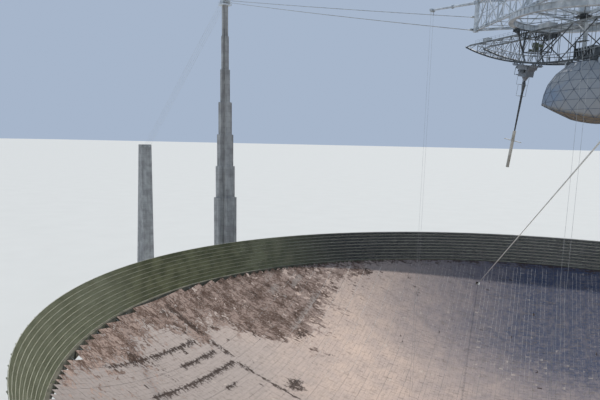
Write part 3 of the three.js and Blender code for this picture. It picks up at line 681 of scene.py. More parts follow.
def cable_net():
    shape = Shape(Matrix.Rotation(GRID_TURN, 4, "Z"))
    count = int(RIM_RADIUS // BAY)
    for k in range(-count, count + 1):
        across_grid = GRID_START + k * BAY
        for lengthwise in (True, False):
            fixed = across_grid if lengthwise else k * BAY
            if abs(fixed) > RIM_RADIUS - 1:
                continue
            reach = math.sqrt((RIM_RADIUS - 0.3) ** 2 - fixed ** 2)
            steps = max(4, round(reach / 5))
            below = NET_BELOW + (0 if lengthwise else 2 * NET_RADIUS)
            path = []
            for i in range(steps + 1):
                along = reach * (2 * i / steps - 1)
                x, y = (fixed, along) if lengthwise else (along, fixed)
                path.append((x, y, float(sphere_height(x, y, below))))
            shape.tube(path, NET_RADIUS, 4)
    make("cable_net", shape, ROPE, "structure")


# Ground screen: leaning posts, rails and wire mesh, a sector at a time

SCREEN_FOOT = 153.4
SCREEN_TOP = 159.1
SCREEN_HEIGHT = 14.74
SCREEN_BASE = RIM_HEIGHT + 0.05
SCREEN_BAYS = 22
SCREEN_RAILS = 10
RAIL_SIZE = 0.12
MESH_STEP = 0.22
MESH_WIRE = 0.19
MESH_THICKNESS = 0.04
STRUT_FOOT = 154.1
STRUT_HEAD = 0.62


def screen_point(angle, share, outside=0.0):
    radius = SCREEN_FOOT + (SCREEN_TOP - SCREEN_FOOT) * share + outside
    return around(angle, radius, SCREEN_BASE + SCREEN_HEIGHT * share)


def screen_mesh(sector):
    shape = Shape()
    bay = SECTOR / SCREEN_BAYS
    rows = round(math.hypot(SCREEN_HEIGHT, SCREEN_TOP - SCREEN_FOOT) / MESH_STEP)
    for i in range(SCREEN_BAYS):
        start = sector * SECTOR + i * bay
        columns = round(SCREEN_FOOT * bay / MESH_STEP)
        face = screen_point(start + bay / 2, 0.5) - screen_point(start + bay / 2, 0.5, 1)
        for k in range(columns):
            share = (k + 0.5) / columns
            low = screen_point(start, 0).lerp(screen_point(start + bay, 0), share)
            high = screen_point(start, 0.99).lerp(screen_point(start + bay, 0.99), share)
            shape.bar(low, high, MESH_THICKNESS, MESH_WIRE, face.normalized())
        for k in range(rows):
            share = (k + 0.5) / rows * 0.98
            first, last = screen_point(start, share, 0.05), screen_point(start + bay, share, 0.05)
            shape.bar(first, last, MESH_THICKNESS, MESH_WIRE)
    return shape


def screen_frame(sector):
    shape = Shape()
    bay = SECTOR / SCREEN_BAYS
    for i in range(SCREEN_BAYS):
        start = sector * SECTOR + i * bay
        middle = start + bay / 2
        shape.bar(screen_point(middle, 0, 0.25), screen_point(middle, 0.985, 0.25), 0.16, 0.3)
        head = screen_point(middle, STRUT_HEAD, 0.35)
        shape.rod(around(middle, STRUT_FOOT, SCREEN_BASE), head, 0.08, 5)
        for k in range(SCREEN_RAILS):
            share = k / (SCREEN_RAILS - 1) * 0.992
            first, last = screen_point(start, share, -0.08), screen_point(start + bay, share, -0.08)
            shape.bar(first, last, RAIL_SIZE, RAIL_SIZE)
    return shape


def ground_screen():
    for k in range(SECTORS):
        make(f"screen_mesh_{k + 1}", screen_mesh(k), WIRE, "structure", f"ground_screen_{k + 1}")
        make(f"screen_frame_{k + 1}", screen_frame(k), RAIL_STEEL, "structure")


# Towers: a caged ladder in one recess, and rails and a mast on the head

TOWER_RADIUS = 210.5
GROUND = -54.16
# The height at which each step begins and how wide it is
TOWER_STEPS = [(GROUND, 12.4), (31.8, 10.4), (50.1, 8.8), (68.4, 7.2), (86.7, 5.18), (105, 3.99),
               (123.3, 3.27), (139.7, 0)]
CROSS_ARM = 0.42
HEAD_DECK = 140.42
HEAD_DECK_HALF = 2.7
HEAD_TOP = 143.1


def railing(shape, corners, height=1.1, spacing=1.6, size=0.06):
    """Posts and two rails along a line of points."""
    for start, end in zip(corners, corners[1:]):
        start, end = Vector(start), Vector(end)
        steps = max(1, round((end - start).length / spacing))
        for i in range(steps + 1):
            foot = start.lerp(end, i / steps)
            shape.bar(foot, foot + UP * height, size)
        for share in (0.5, 1):
            lift = UP * (height * share)
            shape.bar(start + lift, end + lift, size)


def ladder(shape, foot, height, outward, aside):
    foot, outward, aside = Vector(foot), Vector(outward), Vector(aside)
    for side in (-0.25, 0.25):
        shape.bar(foot + aside * side, foot + aside * side + UP * height, 0.07)
    for i in range(int(height / 0.6)):
        level = foot + UP * (0.3 + 0.6 * i)
        shape.bar(level - aside * 0.25, level + aside * 0.25, 0.05)
    for i in range(int(height / 2.4)):
        level = foot + UP * (2.2 + 2.4 * i)
        hoop = [level + aside * 0.42 * math.cos(t) + outward * (0.1 + 0.6 * math.sin(t))
                for t in turns(8)[:5]]
        shape.run(hoop, 0.05)


def tower_fittings(letter, azimuth):
    shape = Shape(turned(azimuth))
    for (low, width), (high, _) in zip(TOWER_STEPS, TOWER_STEPS[1:]):
        inner = width / 2 * CROSS_ARM
        recess = TOWER_RADIUS + inner
        ladder(shape, at(recess + 0.35, inner + 0.6, low), high - low, (0, 1, 0), (1, 0, 0))
        for y in (-inner - 0.3, inner + 0.3):
            shape.bar(at(recess + 0.02, y, low), at(recess + 0.02, y, high), 0.16)
    half = HEAD_DECK_HALF
    corners = [(-half, -half), (half, -half), (half, half), (-half, half), (-half, -half)]
    railing(shape, [at(TOWER_RADIUS + x, y, HEAD_DECK) for x, y in corners])
    shape.rod(at(TOWER_RADIUS, 1.4, HEAD_TOP), at(TOWER_RADIUS, 1.4, HEAD_TOP + 3.2), 0.09, 6, 0.03)
    for y in (-1.7, 1.7):
        shape.rod(at(TOWER_RADIUS - 1.75, y, HEAD_TOP - 1), at(TOWER_RADIUS + 1.75, y, HEAD_TOP - 1),
                  0.55, 12)
    make(f"tower_fittings_{letter}", shape, PALE_STEEL, "structure")


# Cables, with the sockets that they end in

CORNER_FACE = 39.156
SADDLE_INNER = 208.894
SADDLE_OUTER = 212.106
SADDLE = 141.3
MAIN_CABLE_LOW = 104.4
MAIN_CABLE_HIGH = 108.7
ANCHOR_FACE = 325.996
ANCHOR_LOW = 59.6
CABLE = 0.065  # radius, as the two below are
BACKSTAY = 0.045
THIN_CABLE = 0.028
BOOM_TIP = TIEDOWN_RADIUS
BOOM_UNDER = 113.54


def strand(shape, start, end, sag, radius, steps=16):
    start, end = Vector(start), Vector(end)
    path = []
    for i in range(steps + 1):
        s = i / steps
        path.append(start.lerp(end, s) - UP * (4 * sag * s * (1 - s)))
    shape.tube(path, radius, 5)
    for first, following in ((path[0], path[1]), (path[-1], path[-2])):
        along = (following - first).normalized()
        shape.rod(first - along * 0.4, first + along * 0.5, radius * 3, 8)
        shape.rod(first + along * 0.5, first + along * 1.1, radius * 3, 8, radius)


def tower_cables(letter, azimuth):
    main = Shape(turned(azimuth))
    for level, half, deep in ((MAIN_CABLE_LOW, 1.5, 0.3), (MAIN_CABLE_HIGH, 0.9, 0.25)):
        main.box(at(CORNER_FACE, -half, level - deep), at(CORNER_FACE + 0.5, half, level + deep))
    main.box(at(SADDLE_INNER - 0.4, -2.2, SADDLE - 0.5), at(SADDLE_INNER, 2.2, SADDLE + 1.1))
    foot, head = CORNER_FACE + 0.9, SADDLE_INNER - 0.8
    for y in (-1.05, -0.35, 0.35, 1.05):
        strand(main, at(foot, y, MAIN_CABLE_LOW), at(head, y * 1.2, SADDLE - 0.2), 0.45, CABLE)
    for y in (-0.35, 0.35):
        strand(main, at(foot, y, MAIN_CABLE_HIGH), at(head, y * 3, SADDLE + 0.8), 0.3, CABLE)
    make(f"main_strands_{letter}", main, ROPE, "structure", f"main_cables_{letter}")
    back = Shape(turned(azimuth))
    back.box(at(SADDLE_OUTER, -2.2, SADDLE - 0.5), at(SADDLE_OUTER + 0.4, 2.2, SADDLE + 0.5))
    back.box(at(ANCHOR_FACE - 0.4, -2.6, ANCHOR_LOW - 0.7), at(ANCHOR_FACE, 2.6, ANCHOR_LOW + 0.7))
    for i in (-3, -1, 1, 3):
        head, foot = at(SADDLE_OUTER + 0.8, i * 0.58, SADDLE), at(ANCHOR_FACE - 0.8, i * 0.75, ANCHOR_LOW)
        strand(back, head, foot, 0, BACKSTAY, 2)
    make(f"backstay_strands_{letter}", back, ROPE, "structure", f"backstays_{letter}")
    tie = Shape(turned(azimuth))
    tie.box(at(BOOM_TIP - 0.3, -0.95, BOOM_UNDER - 0.3), at(BOOM_TIP + 0.3, 0.95, BOOM_UNDER))
    tie.box(at(BOOM_TIP - 1.5, -2, GROUND), at(BOOM_TIP + 1.5, 2, GROUND + 1.8))
    tie.box(at(BOOM_TIP - 1.1, -1.5, GROUND + 1.8), at(BOOM_TIP + 1.1, 1.5, GROUND + 2))
    for y in (-0.7, 0.7):
        strand(tie, at(BOOM_TIP, y, GROUND + 2.3), at(BOOM_TIP, y, BOOM_UNDER - 0.6), 0, THIN_CABLE, 2)
    make(f"tiedown_strands_{letter}", tie, ROPE, "structure", f"tiedown_cables_{letter}")


GUIDE_TOWER = Vector((1.09, -206.9, 73.2))
GUIDE_PANEL = Vector((-37.2, 131.4, -10.3))
GUIDE_COLUMN = math.radians(105)
GUIDE_FACE = 152.7


def guide_rope():
    """A rope from the near tower through the bowl's far side to a column of the rim, thicker there."""
    shape = Shape()
    run = GUIDE_PANEL - GUIDE_TOWER
    outward = around(GUIDE_COLUMN)
    share = (GUIDE_FACE - GUIDE_TOWER.dot(outward)) / run.dot(outward)
    end = GUIDE_TOWER + run * share
    ring = circle(GUIDE_TOWER, end, 6)
    rings = []
    for k in range(25):
        point, radius = GUIDE_TOWER + run * (share * k / 24), 0.038 + 0.07 * k / 24
        rings.append([at(*(point + p * radius)) for p in ring])
    shape.loft(rings)
    shape.rod(at(*GUIDE_TOWER), at(*(GUIDE_TOWER + run.normalized() * 0.7)), 0.2, 10, 0.06)
    turn = Matrix.Rotation(GUIDE_COLUMN, 4, "Z")
    local = turn.inverted() @ end
    clamp = Shape(turn)
    low, high = (local.x - 1.1, local.y - 0.4, local.z - 0.3), (GUIDE_FACE, local.y + 0.4, local.z + 0.5)
    clamp.box(at(*low), at(*high))
    shape.add(clamp.points, clamp.faces)
    shape.box(at(GUIDE_TOWER.x - 0.3, GUIDE_TOWER.y, GUIDE_TOWER.z - 0.5),
              at(GUIDE_TOWER.x + 0.3, GUIDE_TOWER.y + 0.3, GUIDE_TOWER.z + 0.3))
    make("guide_rope", shape, PALE_ROPE, "structure", "guide_cable")


# Platform

PLATFORM_CORNER = 38.35
BOTTOM_CHORD = 104.3
TOP_CHORD = 113.5
CHORD = 0.8
POST = 0.8
SIDE_BAYS = 8
IN_RADIUS = PLATFORM_CORNER / 2
HALF_SIDE = PLATFORM_CORNER * math.sin(math.radians(60))


def platform_side(azimuth):
    shape = Shape(turned(azimuth))
    start, end = -HALF_SIDE, HALF_SIDE - POST
    low, high = BOTTOM_CHORD, TOP_CHORD
    shape.rod(at(IN_RADIUS, start, low - 0.6), at(IN_RADIUS, start, high + 0.6), POST, 20)
    for level in (low - 0.62, low + 0.5, high - 0.5, high + 0.58):
        shape.rod(at(IN_RADIUS, start, level - 0.1), at(IN_RADIUS, start, level + 0.1), POST + 0.14, 20)
    for level in (low, high):
        for edge in (-0.32, 0.32):
            shape.bar(at(IN_RADIUS, start, level + edge), at(IN_RADIUS, end, level + edge), CHORD, 0.14)
        shape.bar(at(IN_RADIUS, start, level), at(IN_RADIUS, end, level), 0.14, 0.6)
    bays = SIDE_BAYS * 2
    step = 2 * HALF_SIDE / bays
    middle = (low + high) / 2
    for i in range(bays):
        y, far = start + i * step, min(start + (i + 1) * step, end - 0.4)
        if i:
            shape.bar(at(IN_RADIUS, y, low), at(IN_RADIUS, y, high), 0.36 if i % 2 == 0 else 0.2)
        shape.bar(at(IN_RADIUS, y, middle), at(IN_RADIUS, far, middle), 0.16)
        rising = (i // 2) % 2 == 0
        first, last = (low, middle) if i % 2 == 0 else (middle, high)
        if not rising:
            first, last = (high, middle) if i % 2 == 0 else (middle, low)
        shape.bar(at(IN_RADIUS, y, first), at(IN_RADIUS, far, last), 0.32)
        first, last = high + low - first, high + low - last
        shape.bar(at(IN_RADIUS - 0.2, y, first), at(IN_RADIUS - 0.2, far, last), 0.14)
    for i in range(1, bays):
        y = start + i * step
        for level in (low, high):
            shape.box(at(IN_RADIUS - 0.44, y - 0.35, level - 0.4),
                      at(IN_RADIUS + 0.44, y + 0.35, level + 0.4))
    railing(shape, [at(IN_RADIUS, start + 1, high + 0.4), at(IN_RADIUS, end - 1, high + 0.4)], 1.1, 2.1)
    return shape


HUB_RADIUS = 1.5
RING_RADIUS = 20.3
RING_WIDTH = 1.5
RING_BOTTOM = 102
RING_STIFFENERS = 72


def inner_frame():
    shape = Shape()
    inner = IN_RADIUS - CHORD / 2 - 0.9
    corners = [math.radians(a) for a in (90, 210, 330)]

    def point(angle, radius, z):
        return around(angle, radius, up(z))

    for i, angle in enumerate(corners):
        following = corners[(i + 1) % 3]
        for z in (BOTTOM_CHORD, TOP_CHORD):
            shape.bar(point(angle, inner - 0.7, z), point(angle, IN_RADIUS - CHORD / 2, z), 1.4, 0.7)
            shape.bar(point(angle, inner, z), point(following, inner, z), 0.5)
            shape.bar(point(angle, inner, z), point(angle, HUB_RADIUS, z), 0.3)
            for share in (0.25, 0.5, 0.75):
                end = point(angle, inner, z).lerp(point(following, inner, z), share)
                centre = Vector((0, 0, end.z))
                shape.bar(end, centre + (end - centre).normalized() * HUB_RADIUS, 0.2)
        bays = 6
        for k in range(bays):
            start, end = (point(a, inner, BOTTOM_CHORD) for a in (angle, following))
            low = [start.lerp(end, (k + j) / bays) for j in (0, 1)]
            high = [p + UP * (TOP_CHORD - BOTTOM_CHORD) for p in low]
            shape.bar(low[0], high[0], 0.3 if k else 0.6)
            shape.bar(low[k % 2], high[1 - k % 2], 0.22)
        # Floor beams from the inner triangle out to the platform's side, each side of its middle
        for side in (-1, 1):
            for along in (6, 12, 18, 24):
                for z in (BOTTOM_CHORD, TOP_CHORD):
                    aside = Vector((-math.sin(angle), math.cos(angle), 0)) * side * along
                    out = point(angle, IN_RADIUS - CHORD / 2, z) + aside
                    within = max(0.0, inner - along * math.sqrt(3))
                    shape.bar(out, point(angle, max(within, IN_RADIUS - 9 - along / 4), z) + aside, 0.2)
    shape.rod(at(0, 0, BOTTOM_CHORD - 0.5), at(0, 0, TOP_CHORD + 0.3), HUB_RADIUS, 16)
    for level in (BOTTOM_CHORD, TOP_CHORD):
        shape.rod(at(0, 0, level - 0.25), at(0, 0, level + 0.25), HUB_RADIUS + 0.6, 16)
    make("platform_lattice", shape, PALE_STEEL, "structure", "platform_inner_frame")


def azimuth_ring():
    shape = Shape()
    top = BOTTOM_CHORD - CHORD / 2
    inner, outer = RING_RADIUS - RING_WIDTH / 2, RING_RADIUS + RING_WIDTH / 2
    low = RING_BOTTOM
    profile = [(inner, low), (inner, low + 0.22), (inner + 0.28, low + 0.3), (inner + 0.28, top - 0.28),
               (inner, top - 0.2), (inner, top), (outer, top), (outer, top - 0.2), (outer - 0.28, top - 0.28),
               (outer - 0.28, low + 0.3), (outer, low + 0.22), (outer, low)]
    shape.ring([(r, up(z)) for r, z in profile], 96)
    for turn in turns(RING_STIFFENERS):
        for radius in (inner + 0.14, outer - 0.14):
            foot, head = around(turn, radius, up(low + 0.2)), around(turn, radius, up(top - 0.2))
            shape.bar(foot, head, 0.26, 0.08)
    make("ring_girder", shape, PALE_STEEL, "structure", "azimuth_ring")
    machine = Shape()
    machine.rod(at(0, 0, BOTTOM_CHORD - 2.6), at(0, 0, BOTTOM_CHORD - 0.5), 1.1, 14)
    machine.rod(at(0, 0, BOTTOM_CHORD - 1.5), at(0, 0, BOTTOM_CHORD - 1.1), 2.1, 14)
    for turn in turns(12):
        hub_end, ring_end = around(turn, 1, up(BOTTOM_CHORD - 1.3)), around(turn, inner + 0.3, up(top - 0.35))
        machine.rod(hub_end, ring_end, 0.09, 5)
    make("centre_bearing", machine, DARK_STEEL, "structure")


# Arm, with +x towards the line feed

ARM_AZIMUTH = 134.5
ARM_HALF = 50.5
ARM_TRACK = 3.9
ARM_TOP = 101.1
ARM_TOP_HALF = 48
RAIL_RADIUS = 126.65
RAIL = 0.5
ARM_BAYS = 22
INNER_CHORD = 2.2
INNER_CHORD_REACH = 44
RAIL_STEPS = 44
GIRDER_PLACE = 18.5
GIRDER_HALF = 9.4
GIRDER_BELLY = 99.1
GIRDER_TOP = 101.7

ARM = turned(ARM_AZIMUTH)


def rail_height(x, radius=RAIL_RADIUS):
    return CENTRE_HEIGHT - RIM_HEIGHT - math.sqrt(radius ** 2 - x ** 2)


def rail_arc(y, radius, reach):
    most = math.asin(reach / RAIL_RADIUS)
    points = []
    for i in range(RAIL_STEPS + 1):
        x = radius * math.sin(most * (2 * i / RAIL_STEPS - 1))
        points.append(at(x, y, rail_height(x, radius)))
    return points


def arm_truss(side):
    """The top chord, the lighter chord above the rail, and the posts and short diagonals."""
    shape = Shape(ARM)
    y = side * ARM_TRACK
    arc = rail_arc(y, RAIL_RADIUS - INNER_CHORD, INNER_CHORD_REACH)
    foot = rail_arc(y, RAIL_RADIUS - 0.2, INNER_CHORD_REACH)
    for i, (start, end) in enumerate(zip(arc, arc[1:])):
        shape.bar(start, end, 0.22)
        shape.bar(foot[i + i % 2], start if i % 2 == 0 else end, 0.14)
    for end in (-1, 1):
        tip = at(end * (ARM_HALF - 0.3), y, rail_height(ARM_HALF) - 0.1)
        shape.bar(at(end * ARM_TOP_HALF, y, ARM_TOP), tip, 0.34)
    for edge in (-0.2, 0.2):
        shape.bar(at(-ARM_TOP_HALF, y, ARM_TOP + edge), at(ARM_TOP_HALF, y, ARM_TOP + edge), 0.36, 0.12)
    shape.bar(at(-ARM_TOP_HALF, y, ARM_TOP), at(ARM_TOP_HALF, y, ARM_TOP), 0.14, 0.4)
    step = 2 * ARM_TOP_HALF / ARM_BAYS
    for i in range(ARM_BAYS + 1):
        x = -ARM_TOP_HALF + i * step
        shape.rod(at(x, y, rail_height(x)), at(x, y, ARM_TOP), 0.1, 6)
        middle = x + step / 2
        if i == ARM_BAYS or abs(middle) < 14:
            continue
        top, low = (x, x + step) if middle > 0 else (x + step, x)
        shape.rod(at(top, y, ARM_TOP), at(low, y, rail_height(low)), 0.1, 6)
        if i % 2 == 0:
            shape.rod(at(low, y, ARM_TOP), at(top, y, rail_height(top)), 0.07, 6)
    for end in (-1, 1):
        line = [at(end * x, y, ARM_TOP + 0.25) for x in (GIRDER_PLACE + 3, ARM_TOP_HALF - 3)]
        railing(shape, line, 1.1, 2.2, 0.04)
    return shape


LONG_DIAGONAL = 3


def arm_rails():
    """The rails that the dome and the line feed ride on, and the long diagonals of the arm's middle."""
    shape = Shape(ARM)
    step = 2 * ARM_TOP_HALF / ARM_BAYS
    for side in (-1, 1):
        y = side * ARM_TRACK
        for radius, width, depth in ((RAIL_RADIUS + 0.2, 0.5, 0.12), (RAIL_RADIUS, 0.2, 0.4),
                                     (RAIL_RADIUS - 0.2, 0.5, 0.12)):
            shape.run(rail_arc(y, radius, ARM_HALF), width, depth)
        for i in range(-6, 2, 2) if side > 0 else range(-5, 3, 2):
            top, low = side * i * step, side * (i + LONG_DIAGONAL) * step
            shape.bar(at(top, y, ARM_TOP - 0.2), at(low, y, rail_height(low) + 0.1), 0.25, 0.25)
    # Painted shade: in the darker copy of the arm's paint.
    make("arm_rails", shape, ARM_PAINTED_SHADE, "azimuth_arm")


def cross_girder(shape, place):
    """A box girder with a deep belly, over the arm's top chords. The trolleys at its ends are added by
    arm_machinery.
    """
    low_end = GIRDER_TOP - 0.5
    slot = RAIL / 2 + 0.02
    outline = [(-GIRDER_HALF, low_end), (-ARM_TRACK - slot, GIRDER_BELLY), (-ARM_TRACK - slot, GIRDER_TOP),
               (-GIRDER_HALF, GIRDER_TOP)]
    if place < 0:
        outline = [(-y, z) for y, z in reversed(outline)]
    for flank in (-0.45, 0.37):
        shape.prism(*[[at(place + flank + x, y, z) for y, z in outline] for x in (0, 0.08)])
        for i in range(4):
            y, following = (ARM_TRACK - slot) * (i / 2 - 1), (ARM_TRACK - slot) * ((i + 1) / 2 - 1)
            ends = (GIRDER_BELLY, GIRDER_TOP) if i % 2 == 0 else (GIRDER_TOP, GIRDER_BELLY)
            shape.bar(at(place + flank, y, ends[0]), at(place + flank, following, ends[1]), 0.2)
    shape.box(at(place - 0.5, -GIRDER_HALF, GIRDER_TOP - 0.1), at(place + 0.5, GIRDER_HALF, GIRDER_TOP))
    steps = 6
    for side in (-1, 1):
        plated = side * place < 0
        for flank in (0,) if plated else (-0.41, 0.41):
            x = place + flank
            wide, deep = (1, 0.1) if plated else (0.18, 0.14)
            root = at(x, side * (ARM_TRACK + slot), GIRDER_BELLY)
            shape.bar(at(x, side * GIRDER_HALF, low_end), root, wide, deep)
            for i in range(steps + 1):
                y = side * (ARM_TRACK + slot + (GIRDER_HALF - ARM_TRACK - slot) * i / steps)
                low = GIRDER_BELLY + (low_end - GIRDER_BELLY) * i / steps
                shape.bar(at(x, y, low), at(x, y, GIRDER_TOP), wide, deep, Vector((0, 1, 0)))
    shape.box(at(place - 0.5, -ARM_TRACK + slot, GIRDER_BELLY - 0.08),
              at(place + 0.5, ARM_TRACK - slot, GIRDER_BELLY + 0.04))


def arm_cross():
    shape = Shape(ARM)
    y = ARM_TRACK - RAIL / 2 - 0.2
    spacing = 4 * ARM_TOP_HALF / ARM_BAYS
    for side in (-1, 1):
        shape.bar(at(-39, side * y, ARM_TOP), at(39, side * y, ARM_TOP), 0.3)
    for i in range(-5, 6):
        x = i * spacing
        low = rail_height(x) + 0.1
        if abs(x) > 46:
            continue
        for z in (low, ARM_TOP):
            shape.bar(at(x, -y - 0.2, z), at(x, y + 0.2, z), 0.24)
        if abs(x) > 15:
            shape.rod(at(x, -y, low), at(x, y, ARM_TOP), 0.07)
            shape.rod(at(x, y, low), at(x, -y, ARM_TOP), 0.07)
        if i < 5:
            beyond = x + spacing
            shape.rod(at(x, -y, ARM_TOP), at(beyond, y, ARM_TOP), 0.09)
            shape.rod(at(x, y, ARM_TOP), at(beyond, -y, ARM_TOP), 0.09)
            shape.rod(at(x, -y, low), at(beyond, y, rail_height(beyond) + 0.1), 0.07)
    # A walkway of planks on the top, broken at the girders
    walks = ((-44, -GIRDER_PLACE - 1.2), (-GIRDER_PLACE + 1.2, GIRDER_PLACE - 2.6), (GIRDER_PLACE + 1.2, 44))
    for start, end in walks:
        for plank in (-0.45, 0, 0.45):
            lane = y - 1 + plank
            shape.bar(at(start, lane, ARM_TOP + 0.24), at(end, lane, ARM_TOP + 0.24), 0.36, 0.06)
        for k in range(int((end - start) / 2.2) + 1):
            x = start + 2.2 * k
            shape.bar(at(x, y - 1.8, ARM_TOP + 0.17), at(x, y, ARM_TOP + 0.17), 0.1)
    make("arm_bracing", shape, GREY_STEEL, "azimuth_arm", "arm_cross_frames")


LOUVRE = ((0, 0), (0.9, 0), (1.6, 2.4), (0.7, 2.4))


def arm_machinery():
    shape = Shape(ARM)
    for place in (-GIRDER_PLACE, GIRDER_PLACE):
        cross_girder(shape, place)
        wheel_y = math.sqrt(RING_RADIUS ** 2 - place ** 2)
        for y in (-wheel_y, wheel_y):
            shape.box(at(place - 0.9, y - 0.75, GIRDER_TOP - 0.75),
                      at(place + 0.9, y + 0.75, GIRDER_TOP + 0.02))
            for x in (-0.5, 0.5):
                ends = [at(place + x, y + half, GIRDER_TOP + 0.01) for half in (-0.28, 0.28)]
                shape.rod(*ends, 0.27, 14)
        # Struts from the trolleys down to a knee on the truss, and on to the rail
        out = 1 if place > 0 else -1
        for side in (-1, 1):
            knee = at(place + out * 1.8, side * ARM_TRACK, 95.6)
            foot_x = place + out * 0.3
            shape.rod(at(place - out * 0.6, side * wheel_y, GIRDER_TOP - 0.7), knee, 0.24, 8)
            shape.rod(knee, at(foot_x, side * ARM_TRACK, rail_height(foot_x) + 0.2), 0.24, 8)
            shape.bar(knee, at(place + out * 0.6, side * ARM_TRACK, ARM_TOP), 0.45)
    # Painted shade: in the darker copy of the arm's paint.
    make("cross_girders", shape, ARM_PAINTED_SHADE, "azimuth_arm")
    shed = Shape(ARM)
    low, high = ARM_TOP + 0.27, ARM_TOP + 1.7
    x0, x1, y0, y1 = 9.2, 13.6, 0.9, 4.3
    shed.box(at(x0, y0, low), at(x1, y1, high - 0.25))
    shed.box(at(x0 - 0.15, y0 - 0.15, high - 0.27), at(x1 + 0.15, y1 + 0.15, high))
    for k in range(10):
        x = x0 + 0.2 + (x1 - x0 - 0.4) * k / 9
        for y in (y0 - 0.03, y1 + 0.03):
            shed.bar(at(x, y, low + 0.05), at(x, y, high - 0.3), 0.08)
    shed.box(at(38.9, 1.6, ARM_TOP + 0.27), at(41.5, 3.4, ARM_TOP + 1.4))
    shed.box(at(38.7, 1.4, ARM_TOP + 1.38), at(41.7, 3.6, ARM_TOP + 1.5))
    make("drive_sheds", shed, PALE_STEEL, "azimuth_arm")
    drive = Shape(ARM)
    for x0, x1, y0, y1, z0, z1 in ((15.6, 16.8, 1.4, 3.2, 96.3, 97.7), (17.4, 18.6, -0.4, 1.2, 95.4, 96.6)):
        drive.box(at(x0, y0, z0), at(x1, y1, z1))
    drive.rod(at(17.4, -1.4, 97.2), at(17.4, 1.4, 97.2), 0.5, 16)
    drive.rod(at(19.6, -1.8, 95.9), at(19.6, 1.8, 95.9), 0.42, 16)
    make("drive_machinery", drive, GREEN_STEEL, "azimuth_arm")
    hang = Shape(ARM)
    for x in (15.2, 20.2):
        for y in (-3.4, 3.4):
            hang.bar(at(x, y, 95), at(x, y, ARM_TOP - 0.2), 0.2)
        hang.bar(at(x, -3.5, 95.1), at(x, 3.5, 95.1), 0.22)
    for y in (-3.4, 3.4):
        hang.bar(at(15, y, 95.1), at(20.4, y, 95.1), 0.22)
    for y in (-2.4, -1.2, 0, 1.2, 2.4):
        hang.bar(at(15, y, 95.25), at(20.4, y, 95.25), 0.12)
    # A bank of sloping louvres over the rails, with a table beside it
    for k in range(7):
        x = -8.6 + 1.0 * k
        low = rail_height(x) + 0.7
        hang.prism(*[[at(x + along, y, low + rise) for along, rise in LOUVRE] for y in (-3.4, 3.4)])
    hang.box(at(-9.0, -3.6, rail_height(9) + 0.3), at(-1.4, 3.6, rail_height(9) + 0.6))
    hang.box(at(-5.2, 2.2, 95.3), at(-1.5, 4.1, 95.45))
    hang.bar(at(-1.7, ARM_TRACK, 95.4), at(-1.7, ARM_TRACK, rail_height(1.7) + 0.2), 0.4)
    for z in (96.0, 96.5):
        hang.bar(at(-5.2, 4.0, z), at(-1.5, 4.0, z), 0.08)
    for x in (-5.1, -3.3, -1.6):
        hang.bar(at(x, 4.0, 95.4), at(x, 4.0, 96.5), 0.08)
    make("drive_frame", hang, DARK_STEEL, "azimuth_arm")
    posts = Shape(ARM)
    for k in range(7):
        x = -8.3 + 1.0 * k
        low = rail_height(x) + 0.8
        posts.bar(at(x, 3.55, low), at(x + 0.75, 3.55, low + 2.5), 0.12)
    for x in (-1.0, -1.8):
        posts.bar(at(x, 0, rail_height(0) + 0.3), at(x, 0, ARM_TOP - 0.1), 0.42)
    posts.bar(at(1.7, 0, ARM_TOP - 0.1), at(-0.9, 0, 98.9), 0.3)
    for x in (-1.4, 6.4):
        for z in (rail_height(6) + 0.1, ARM_TOP - 0.1):
            posts.bar(at(x, -ARM_TRACK, z), at(x, ARM_TRACK, z), 0.24)
    make("arm_posts", posts, PALE_STEEL, "azimuth_arm")


# What hangs from the arm's rails: x along the arm, and distances down from the sphere's centre

DOME_ZENITH = 2.2
DOME_RADIUS = 13.1
DOME_CENTRE = 139.5
DOME_ROOF = 128
DOME_ROWS = (11.5, 8.55, 5.8, 3.05, 0.3, -2.45, -5.2, -7.95)
DOME_SIDES = 20
DOME_PHASE = (math.radians(15), math.radians(6))
DOME_CUT_TILT = math.radians(14.6)
DOME_CUT_DROP = 2.25
DOME_CAP = ((12.9, 0), (9.3, 1.25), (4.5, 2.8))
DOME_FRAME = 127.3
DOME_FRAME_LENGTH = 9


def carriage_frame(zenith, direction):
    centre = Matrix.Translation((0, 0, CENTRE_HEIGHT))
    return ARM @ centre @ Matrix.Rotation(math.radians(-zenith * direction), 4, "Y")


DOME = carriage_frame(DOME_ZENITH, -1)
CUT_NORMAL = Vector((-math.sin(DOME_CUT_TILT), 0, math.cos(DOME_CUT_TILT)))
CUT_CENTRE = Vector((0, 0, -DOME_CENTRE)) - CUT_NORMAL * (DOME_CUT_DROP * math.cos(DOME_CUT_TILT))
CAP = Matrix.Translation(CUT_CENTRE) @ Matrix.Rotation(-DOME_CUT_TILT, 4, "Y")


def below(x, y, distance):
    return Vector((x, y, -distance))


def facet_corners(rows):
    """The triangles between rows of corners, where a row is a radius and a height."""
    grid = []
    for j, (radius, height) in enumerate(rows):
        grid.append([around(t, radius, height) for t in turns(DOME_SIDES, DOME_PHASE[j % 2])])
    facets = []
    for j in range(len(grid) - 1):
        upper, lower = grid[j], grid[j + 1]
        for k in range(DOME_SIDES):
            left, right = (k, k + 1) if j % 2 == 0 else (k - 1, k)
            facets.append([upper[k], lower[left], lower[right % DOME_SIDES]])
            facets.append([upper[k], lower[right % DOME_SIDES], upper[(k + 1) % DOME_SIDES]])
    return facets


def clipped(corners, point, normal):
    """What is left of a polygon on the normal's side of a plane."""
    kept = []
    heights = [(p - point).dot(normal) for p in corners]
    for i, p in enumerate(corners):
        following = (i + 1) % len(corners)
        if heights[i] >= 0:
            kept.append(p)
        if (heights[i] > 0) != (heights[following] > 0):
            share = heights[i] / (heights[i] - heights[following])
            kept.append(p.lerp(corners[following], share))
    return kept


